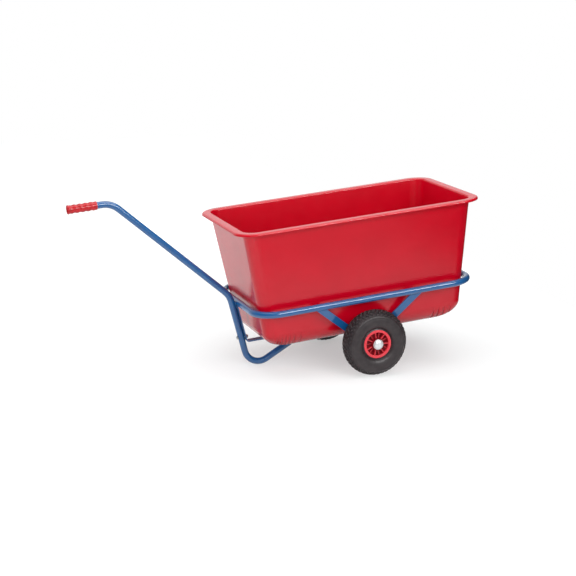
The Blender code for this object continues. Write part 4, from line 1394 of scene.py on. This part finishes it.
@dataclass
class Tyre:
    """The tyre: an oval carcass with a rounded step on its side walls, and staggered blocks."""

    radius: float = WHEEL_RADIUS
    width: float = 0.085
    belt_radius: float = 0.091
    bead_seat: float = 0.0511
    bead_outside: float = 0.0307
    flange_radius: float = 0.0560
    groove: float = 0.0030
    bead_dip: float = 0.0035
    wall: float = 0.006
    steps: int = 96
    outer_points: int = 72
    inner_points: int = 20
    bead_width: float = 0.010
    # The grooves start at this sine of the section angle, and reach their depth over this run.
    groove_start: float = 0.42
    groove_run: float = 0.40
    # Section angles are in radians, zero at the widest place and a right angle at the crown.
    step_rise: float = 0.0012
    step_swing: float = 0.0016
    step_angle: float = 0.38
    step_softness: float = 0.035
    step_fade_start: float = 0.45
    step_fade: float = 0.12
    dip_spread: float = 0.22
    blocks_round: int = 44
    stagger: float = 0.37
    block_edge: float = 0.0020
    block_half_edge: float = 0.3
    row_angles: tuple[float, ...] = (0.60, 0.86, 1.11, 1.36)
    row_gap: float = 0.045
    block_share: float = 0.60
    middle_angle: float = 1.39
    middle_share: float = 0.62
    tread_sharp_degrees: float = 80.0

    @property
    def bead_angle(self) -> float:
        """How far below the widest place the section ends, at the rim's flange."""
        return math.acos(self.bead_outside / (self.width / 2))

    def crown(self, angle: float, inset: float) -> tuple[float, float]:
        """A point of the oval section.

        Args:
            angle: its angle, zero at the widest place and a right angle at the crown.
            inset: how far inside the outline it is.

        Returns:
            Its radius and its place along the axle.
        """
        low = (self.belt_radius - self.flange_radius) / math.sin(self.bead_angle)
        high = self.radius - self.belt_radius
        height = (high if math.sin(angle) > 0 else low) - inset
        return (self.belt_radius + height * math.sin(angle),
                (self.width / 2 - inset) * math.cos(angle))

    def tread_depth(self, angle: float) -> float:
        """How deep the grooves are cut at an angle, fading in from nothing low on the shoulder."""
        share = min(1.0, max(0.0, (math.sin(angle) - self.groove_start) / self.groove_run))
        return self.groove * share * share * (3 - 2 * share)

    def side_relief(self, angle: float) -> float:
        """How far the side wall stands out: a rounded step, then a dip at the bead.

        Args:
            angle: the section angle.

        Returns:
            The distance, from where the wall would be without either.
        """
        low_angle = angle if angle < math.pi / 2 else math.pi - angle
        swing = math.tanh((low_angle - self.step_angle) / self.step_softness)
        step = self.step_rise + self.step_swing * swing
        fade = math.exp(-max(0.0, low_angle - self.step_fade_start) / self.step_fade)
        dip = self.bead_dip * math.exp(-((low_angle + self.bead_angle) / self.dip_spread) ** 2)
        return min(self.step_rise, step * fade) - dip

    def profile(self) -> Profile:
        """The carcass's section, outside, beads and inside.

        Returns:
            The closed section.
        """
        start, turn = -self.bead_angle, math.pi + 2 * self.bead_angle
        outer = []
        for step in range(self.outer_points + 1):
            angle = start + turn * step / self.outer_points
            inset = self.tread_depth(angle) + self.step_rise - self.side_relief(angle)
            outer.append(self.crown(angle, inset))
        inner = [self.crown(start + turn * step / self.inner_points, self.wall)
                 for step in range(1, self.inner_points)]
        seat, outside = self.bead_seat, self.bead_outside
        inside = outside - self.bead_width
        near_bead = [(seat, -outside), (seat, -inside)]
        far_bead = [(seat, inside), (seat, outside)]
        return outer + near_bead + inner[::-1] + far_bead

    def block(self, bm: EditMesh, turn: float, low: float, high: float, spread: float) -> None:
        """Adds one tread block.

        Args:
            bm: the tread's bmesh.
            turn: where its middle is round the tyre.
            low: the section angle where it starts.
            high: the section angle where it ends.
            spread: how much of the turn it covers.
        """
        loops = []
        edge = self.block_edge
        part = edge * self.block_half_edge
        for inset, shrink in ((self.groove + self.step_rise, 0.0), (edge, 0.0), (part, part),
                              (0.0, edge)):
            trim = shrink / (self.radius - self.belt_radius)
            loop = []
            for way, shares in ((-1, (0.0, 0.5, 1.0)), (1, (1.0, 0.5, 0.0))):
                swing = turn + way * (spread / 2 - shrink / self.radius)
                for share in shares:
                    r, z = self.crown(low + trim + (high - low - 2 * trim) * share, inset)
                    loop.append(Vector((r * math.cos(swing), r * math.sin(swing), z)))
            loops.append(loop)
        skin(bm, loops, caps=True)

    def tread(self) -> Mesh:
        """All of the tread blocks, in seven staggered rows.

        Returns:
            One mesh of all the blocks.
        """
        bm = bmesh.new()
        pitch = 2 * math.pi / self.blocks_round
        near_rows = [(low + self.row_gap, high - self.row_gap)
                     for low, high in zip(self.row_angles, self.row_angles[1:])]
        far_rows = [(math.pi - high, math.pi - low) for low, high in near_rows]
        for index, (low, high) in enumerate(near_rows + far_rows):
            stagger = pitch * self.stagger * index
            for number in range(self.blocks_round):
                self.block(bm, number * pitch + stagger, low, high, pitch * self.block_share)
        for number in range(self.blocks_round):
            self.block(bm, (number + 0.5) * pitch, self.middle_angle,
                       math.pi - self.middle_angle, pitch * self.middle_share)
        return mesh_from("tyre_tread", bm)

    def build(self, shop: Workshop, side: Side, place: Matrix) -> None:
        """Makes the carcass and its tread.

        Args:
            shop: the workshop that dresses them.
            side: the wheel's side.
            place: where the wheel is.
        """
        body = Body.wheel(side)
        carcass = revolve("tyre_carcass", self.profile(), self.steps)
        shop.put(f"tyre_carcass_{side.label}", carcass, Surface.TYRE, body, place,
                 [f"tyre_{side.label}"], SMOOTH_DEGREES)
        shop.put(f"tyre_tread_{side.label}", self.tread(), Surface.TYRE, body, place, (),
                 self.tread_sharp_degrees)


@dataclass
class Rim:
    """The two moulded rim halves, ribbed outboard and plain inboard."""

    bore: float = 0.0156
    hub_radius: float = 0.022
    hub_half: float = 0.0375
    barrel_radius: float = 0.046
    flange_radius: float = 0.0560
    flange_face: float = 0.034
    flange_thickness: float = 0.003
    bead_seat: float = 0.0508
    outer_web: float = 0.008
    inner_web: float = 0.002
    web_thickness: float = 0.004
    ribs: int = 7
    first_rib: float = math.pi / 24
    rib_thickness: float = 0.0032
    rib_drop: float = 0.0025
    low_rib_drop: float = 0.010
    screws: int = 5
    screw_circle: float = 0.034
    boss_radius: float = 0.0065
    boss_overlap: float = 0.001
    boss_sides: int = 20
    joint_gap: float = 0.0002
    small_edge: float = 0.0006
    hub_edge: float = 0.0008
    fillet: float = 0.0015
    barrel_fillet: float = 0.0020
    flange_edge: float = 0.0012
    back_edge: float = 0.0010
    rib_edge: float = 0.0008
    rib_draft: float = 0.0004
    rib_start: float = 0.002
    sharp_degrees: float = 40.0
    steps: int = 80

    def section(self, web: float) -> Profile:
        """Half a rim's section with moulded roundings.

        Args:
            web: the height of the web's underside.

        Returns:
            The closed section.
        """
        top = web + self.web_thickness
        face = self.flange_face
        back = face - self.flange_thickness
        joint = self.joint_gap
        return rounded_profile([
            (self.bore, self.hub_half, self.small_edge),
            (self.hub_radius, self.hub_half, self.hub_edge),
            (self.hub_radius, top, self.fillet), (self.barrel_radius, top, self.barrel_fillet),
            (self.barrel_radius, face, self.flange_edge),
            (self.flange_radius, face, self.flange_edge),
            (self.flange_radius, back, self.back_edge), (self.bead_seat, back, self.small_edge),
            (self.bead_seat, joint, 0), (self.barrel_radius, joint, 0),
            (self.barrel_radius, web, self.fillet), (self.hub_radius, web, self.fillet),
            (self.hub_radius, joint, 0), (self.bore, joint, 0)])

    def rib_mesh(self) -> Mesh:
        """The ribs of the outboard half, tall and low by turns, with rounded top edges.

        Returns:
            One mesh of all the ribs.
        """
        bm = bmesh.new()
        low = self.outer_web + self.web_thickness / 2
        inner = (self.bore + self.hub_radius) / 2 + self.rib_start
        outer = (self.barrel_radius + self.bead_seat) / 2
        half = self.rib_thickness / 2
        foot = half + self.rib_draft
        for index in range(2 * self.ribs):
            drop = self.rib_drop if index % 2 == 0 else self.low_rib_drop
            top = self.flange_face - drop
            section = rounded_profile([(-foot, low, 0), (foot, low, 0),
                                       (half, top, self.rib_edge), (-half, top, self.rib_edge)])
            turn = Matrix.Rotation(self.first_rib + math.pi * index / self.ribs, 4, 'Z')
            skin(bm, [[turn @ Vector((x, across, z)) for across, z in section]
                      for x in (inner, outer)], caps=True)
        return mesh_from("rim_ribs", bm)

    def screw_angles(self) -> list[float]:
        """The screws' angles, of which the first is half a pitch from the valve."""
        offset = math.pi / self.screws
        return [offset + 2 * math.pi * index / self.screws for index in range(self.screws)]

    def boss_mesh(self, web: float, sign: int) -> Mesh:
        """The screw bosses between the mating face and a web.

        Args:
            web: the height of the web's underside.
            sign: 1 for the outboard half and -1 for the inboard one.

        Returns:
            One mesh of all the bosses.
        """
        bm = bmesh.new()
        for angle in self.screw_angles():
            centre = Vector((math.cos(angle), math.sin(angle), 0)) * self.screw_circle
            circle = round_section(self.boss_radius, self.boss_sides)
            skin(bm, [[centre + Vector((a, b, sign * z)) for a, b in circle]
                      for z in (self.joint_gap, web + self.boss_overlap)], caps=True)
        return mesh_from("rim_bosses", bm)

    def build(self, shop: Workshop, side: Side, place: Matrix) -> None:
        """Makes both halves, the ribs and the bosses.

        Args:
            shop: the workshop that dresses them.
            side: the wheel's side.
            place: where the wheel is.
        """
        body, label = Body.wheel(side), side.label
        halves = (("outer", self.outer_web, 1), ("inner", self.inner_web, -1))
        for half, web, sign in halves:
            shell = revolve(f"rim_{half}", [(r, sign * z) for r, z in self.section(web)],
                            self.steps)
            shop.put(f"rim_{half}_shell_{label}", shell, Surface.RIM, body, place,
                     [f"rim_{half}_{label}"], self.sharp_degrees)
        shop.put(f"rim_ribs_{label}", self.rib_mesh(), Surface.RIM, body, place)
        for half, web, sign in halves:
            shop.put(f"rim_bosses_{half}_{label}", self.boss_mesh(web, sign), Surface.RIM,
                     body, place)


@dataclass
class HubCap:
    """The pressed cap that holds the wheel: a bright dome with a turned-out rim."""

    base: float = 0.0401
    radius: float = 0.0203
    height: float = 0.0105
    sheet: float = 0.0012
    brim: float = 0.0016
    dimple: float = 0.0026
    dimple_floor: float = 0.0006
    dimple_edge: float = 0.0005
    dimple_edge_share: float = 0.6
    dome_steps: int = 18
    first_step: int = 3
    fullness: float = 0.85
    axle_play: float = 0.0003
    steps: int = 64

    def build(self, shop: Workshop, side: Side, place: Matrix) -> None:
        """Makes the cap.

        Args:
            shop: the workshop that dresses it.
            side: the wheel's side.
            place: where the wheel is.
        """
        dome = self.radius - self.brim
        top = self.base + self.height
        rise = self.height - self.sheet
        profile = [(0.0, top - self.dimple_floor),
                   (self.dimple * self.dimple_edge_share, top - self.dimple_edge),
                   (self.dimple, top)]
        for step in range(self.first_step, self.dome_steps + 1):
            angle = math.pi / 2 * step / self.dome_steps
            profile.append((dome * math.sin(angle),
                            self.base + self.sheet + rise * math.cos(angle) ** self.fullness))
        profile += arc((self.radius - self.sheet / 2, self.base + self.sheet / 2),
                       self.sheet / 2, 90, -90, 4)
        profile.append((AXLE_RADIUS + self.axle_play, self.base))
        mesh = revolve("hub_cap_dome", profile, self.steps, closed=False)
        shop.put(f"hub_cap_dome_{side.label}", mesh, Surface.BRIGHT, Body.FRAME, place,
                 [f"hub_cap_{side.label}"], SMOOTH_DEGREES)


@dataclass
class Wheel:
    """One wheel: tyre, rim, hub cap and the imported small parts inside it."""

    side: Side
    facet_turn: float = math.pi / 24
    rollers: int = 6

    def build(self, shop: Workshop) -> None:
        """Makes the wheel's pieces and dresses its packed ones.

        Args:
            shop: the workshop that dresses them.
        """
        place = shop.stance.wheel(self.side, self.facet_turn)
        rim = Rim()
        Tyre().build(shop, self.side, place)
        rim.build(shop, self.side, place)
        HubCap().build(shop, self.side, place)
        label = self.side.label
        for name, surface in (("inner_tube", Surface.BUTYL), ("bearing_cage", Surface.BLACK),
                              ("valve_stem", Surface.BRASS), ("valve_cap", Surface.BLACK)):
            shop.dress_node(f"{name}_{label}", surface)
        for name, count, surface in (("rim_screw", rim.screws, Surface.ZINC),
                                     ("roller", self.rollers, Surface.STEEL)):
            for number in range(1, count + 1):
                shop.dress_node(f"{name}_{label}_{number}", surface)


@dataclass(frozen=True)
class Dimming:
    """How reflections of the white fade towards one side, from start to end.

    In the end they have lost the share that is taken.
    """

    towards: tuple[float, float, float]
    start: float
    end: float
    taken: float


@dataclass(frozen=True)
class Lamp:
    """A soft rectangular lamp."""

    name: str
    place: tuple[float, float, float]
    aim: tuple[float, float, float]
    size: tuple[float, float]
    watts: float
    mirrored: bool = True
    lighting: bool = True

    def hang(self) -> None:
        """Puts the lamp in its place, facing its aim."""
        data = bpy.data.lights.new(self.name, 'AREA')
        data.shape = 'RECTANGLE'
        data.size, data.size_y = self.size
        data.energy = self.watts
        lamp = bpy.data.objects.new(self.name, data)
        lamp.visible_glossy = self.mirrored
        lamp.visible_diffuse = self.lighting
        bpy.context.scene.collection.objects.link(lamp)
        lamp.location = self.place
        direction = Vector(self.aim) - Vector(self.place)
        lamp.rotation_euler = direction.to_track_quat('-Z', 'Y').to_euler()


@dataclass
class Studio:
    """The pale floor, the soft lamps and the camera at the photograph's angle."""

    floor_start: tuple[float, float] = (-4.5, -4.5)
    floor_end: tuple[float, float] = (1.65, 6.5)
    floor_grey: str = "#B6B9B9"
    floor_roughness: float = 0.9
    near_glow: float = 0.57
    far_glow: float = 0.84
    glow_reach: tuple[float, float] = (0.7, 3.0)
    # Painted shadow: the share of the floor's glow that is left under the cart.
    under_painted_shadow: float = 0.71
    under_place: tuple[float, float, float] = (0.40, 0.20, 0)
    under_reach: tuple[float, float] = (0.15, 0.60)
    fill: float = 0.54
    ceiling: float = 0.50
    ceiling_rise: tuple[float, float] = (0.26, 0.60)
    lens: float = 97.2
    sensor: float = 36.0
    view_limit: float = 60.0
    floor_dimmings: tuple[Dimming, ...] = (
        Dimming((1, 0, 0), 0.95, 1.5, 0.97),
        Dimming((-1, 0, 0), 0.9, 1.5, 0.85),
        Dimming((0, -1, 0), 0.7, 1.6, 0.60))
    world_dimmings: tuple[Dimming, ...] = (
        Dimming((1, 0, 0), 0.35, 0.80, 0.97),
        Dimming((-1, 0, 0), 0.62, 0.85, 0.85),
        Dimming((0, -1, 0), 0.10, 0.60, 0.94))
    # The camera's place was fitted until the cart's outline lay on the photograph's.
    view: tuple[tuple[float, ...], ...] = (
        (0.941312, 0.065004, -0.331219, -1.947915),
        (-0.337282, 0.219344, -0.915494, -5.621300),
        (0.013140, 0.973480, 0.228396, 1.703620),
        (0, 0, 0, 1))
    lamps: tuple[Lamp, ...] = (
        Lamp("front_softbox", (0.75, -3.2, 2.1), (0.3, 0, 0.3), (2.8, 1.3), 48),
        Lamp("front_fill", (-1.6, -3.2, 1.0), (0.2, 0, 0.3), (1.8, 1.2), 40, mirrored=False),
        Lamp("left_fill", (-2.6, 0.6, 0.9), (0, 0, 0.4), (0.8, 1.2), 14, mirrored=False),
        Lamp("left_spot", (-1.9, -3.2, 1.5), (0.1, 0, 0.3), (0.5, 0.4), 4),
        Lamp("front_strip", (1.0, -3.1, 2.3), (0.3, 0, 0.25), (2.9, 0.45), 78, lighting=False),
        Lamp("back_fill", (0.6, 3.2, 0.9), (0.2, 0, 0.3), (2.4, 1.2), 22, mirrored=False),
        Lamp("top_softbox", (0.1, 0.0, 3.1), (0.1, 0, 0.3), (3.4, 2.4), 66))

    def camera(self) -> None:
        """Puts the camera where the photograph was taken from."""
        data = bpy.data.cameras.new("camera")
        data.lens = self.lens
        data.sensor_width = self.sensor
        data.clip_end = self.view_limit
        camera = bpy.data.objects.new("camera", data)
        bpy.context.scene.collection.objects.link(camera)
        camera.matrix_world = Matrix(self.view)
        bpy.context.scene.camera = camera

    def glassy(self, tree: Tree) -> Socket:
        """What shows in metal, glass and gloss.

        Args:
            tree: the node tree of the floor or the world.

        Returns:
            One for those rays and zero for every other.
        """
        rays = add_node(tree, "ShaderNodeLightPath").outputs
        either = add_node(tree, "ShaderNodeMath", {"operation": 'MAXIMUM'},
                          {0: rays["Is Glossy Ray"], 1: rays["Is Transmission Ray"]})
        return either.outputs[0]

    def mirrored(self, tree: Tree, place: Socket, dimmings: tuple[Dimming, ...]) -> Socket:
        """How much of the white shows, itself or in metal, glass and gloss.

        The studio ends in front of the cart and past both of its ends, so that reflections
        are dim there.

        Args:
            tree: the node tree of the floor or the world.
            place: the point of the floor, or the direction in the world.
            dimmings: how the white fades on each side.

        Returns:
            The share in reflections, and one for every other ray.
        """
        kept = None
        for dimming in dimmings:
            reach = add_node(tree, "ShaderNodeVectorMath",
                             {"operation": 'DOT_PRODUCT', 1: dimming.towards}, {0: place})
            level = add_node(tree, "ShaderNodeMapRange",
                             {"interpolation_type": 'SMOOTHSTEP', 1: dimming.start,
                              2: dimming.end, 3: 1.0, 4: 1.0 - dimming.taken},
                             {0: reach.outputs["Value"]})
            links = {0: level.outputs[0]}
            if kept is not None:
                links[1] = kept
            kept = add_node(tree, "ShaderNodeMath", {"operation": 'MULTIPLY', 1: 1.0},
                            links).outputs[0]
        share = add_node(tree, "ShaderNodeMapRange", {3: 1.0}, {0: self.glassy(tree), 4: kept})
        return share.outputs[0]

    def white(self, tree: Tree) -> Socket:
        """What the camera sees, itself or in metal or glass.

        Args:
            tree: the node tree of the floor or the world.

        Returns:
            One for those rays and zero for other light.
        """
        camera = add_node(tree, "ShaderNodeLightPath").outputs["Is Camera Ray"]
        either = add_node(tree, "ShaderNodeMath", {"operation": 'MAXIMUM'},
                          {0: camera, 1: self.glassy(tree)})
        return either.outputs[0]

    def floor(self) -> None:
        """Lays a pale floor that keeps the cart's shadow and fades into the background."""
        start, end = Vector(self.floor_start), Vector(self.floor_end)
        middle, half = (start + end) / 2, (end - start) / 2
        place = Matrix.Translation(middle.to_3d()) @ Matrix.Diagonal((half.x, half.y, 1, 1))
        bm = bmesh.new()
        bmesh.ops.create_grid(bm, x_segments=4, y_segments=4, size=1, matrix=place)
        mesh = bpy.data.meshes.new("floor")
        bm.to_mesh(mesh)
        bm.free()
        mesh.materials.append(self.paper())
        floor = bpy.data.objects.new("floor", mesh)
        bpy.context.scene.collection.objects.link(floor)

    def paper(self) -> bpy.types.Material:
        """Makes the floor's paper, which glows for the camera and has a painted shadow under the
        cart.

        Returns:
            The floor's material.
        """
        material = bpy.data.materials.new("white_paper_floor")
        material.use_nodes = True
        tree = material.node_tree
        shader = tree.nodes["Principled BSDF"]
        shader.inputs["Base Color"].default_value = linear(self.floor_grey)
        shader.inputs["Roughness"].default_value = self.floor_roughness
        shader.inputs["Specular IOR Level"].default_value = 0.0
        point = add_node(tree, "ShaderNodeTexCoord").outputs["Object"]
        reach = add_node(tree, "ShaderNodeVectorMath", {"operation": 'LENGTH'}, {0: point})
        level = add_node(tree, "ShaderNodeMapRange",
                         {"interpolation_type": 'SMOOTHSTEP', 1: self.glow_reach[0],
                          2: self.glow_reach[1], 3: self.near_glow, 4: self.far_glow},
                         {0: reach.outputs["Value"]})
        # Painted shadow: the glow falls to a share of itself round under_place, under the cart.
        from_under = add_node(tree, "ShaderNodeVectorMath",
                              {"operation": 'DISTANCE', 1: self.under_place}, {0: point})
        under = add_node(tree, "ShaderNodeMapRange",
                         {"interpolation_type": 'SMOOTHSTEP', 1: self.under_reach[0],
                          2: self.under_reach[1], 3: self.under_painted_shadow, 4: 1.0},
                         {0: from_under.outputs["Value"]})
        shaded = add_node(tree, "ShaderNodeMath", {"operation": 'MULTIPLY'},
                          {0: level.outputs[0], 1: under.outputs[0]})
        strength = add_node(tree, "ShaderNodeMath", {"operation": 'MULTIPLY'},
                            {0: self.white(tree), 1: shaded.outputs[0]})
        glow = add_node(tree, "ShaderNodeEmission", {}, {"Strength": strength.outputs[0]})
        both = add_node(tree, "ShaderNodeAddShader", {},
                        {0: shader.outputs[0], 1: glow.outputs[0]})
        share = self.mirrored(tree, point, self.floor_dimmings)
        shown = add_node(tree, "ShaderNodeMixShader", {}, {0: share, 2: both.outputs[0]})
        tree.links.new(shown.outputs[0], tree.nodes["Material Output"].inputs["Surface"])
        return material

    def world(self) -> None:
        """Sets a white background whose ceiling is darker, and a fill light of the same shape."""
        world = bpy.data.worlds.new("studio")
        bpy.context.scene.world = world
        world.use_nodes = True
        tree = world.node_tree
        background = tree.nodes["Background"]
        background.inputs["Color"].default_value = linear("#FFFFFF")
        direction = add_node(tree, "ShaderNodeTexCoord").outputs["Generated"]
        share = self.mirrored(tree, direction, self.world_dimmings)
        strength = add_node(tree, "ShaderNodeMapRange", {3: self.fill, 4: 1.0},
                            {0: self.white(tree)})
        upward = add_node(tree, "ShaderNodeSeparateXYZ", {}, {0: direction}).outputs["Z"]
        dome = add_node(tree, "ShaderNodeMapRange",
                        {"interpolation_type": 'SMOOTHSTEP', 1: self.ceiling_rise[0],
                         2: self.ceiling_rise[1], 3: 1.0, 4: self.ceiling}, {0: upward})
        camera = add_node(tree, "ShaderNodeLightPath").outputs["Is Camera Ray"]
        plain = add_node(tree, "ShaderNodeMath", {"operation": 'MAXIMUM'},
                         {0: dome.outputs[0], 1: camera})
        shaped = add_node(tree, "ShaderNodeMath", {"operation": 'MULTIPLY'},
                          {0: plain.outputs[0], 1: share})
        both = add_node(tree, "ShaderNodeMath", {"operation": 'MULTIPLY'},
                        {0: strength.outputs[0], 1: shaped.outputs[0]})
        tree.links.new(both.outputs[0], background.inputs["Strength"])

    def build(self) -> None:
        """Sets up floor, light and camera."""
        self.camera()
        self.floor()
        self.world()
        for lamp in self.lamps:
            lamp.hang()
        bpy.context.scene.view_settings.view_transform = 'Standard'


def main() -> None:
    """Builds the cart's looks in order, then the studio."""
    logging.basicConfig(level=logging.INFO, format="%(name)s: %(message)s")
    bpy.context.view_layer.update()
    shop = Workshop.opened(Stance.of_frame(frame["joints"]))
    tub = Tub()
    ring = FrameRing(tub)
    handle = Handle(ring)
    for piece in (tub, ring, handle, Undercarriage(handle), Wheel(Side.NEAR), Wheel(Side.FAR)):
        piece.build(shop)
        LOG.info("%s built", type(piece).__name__)
    Studio().build()


if __name__ == "__main__":
    main()
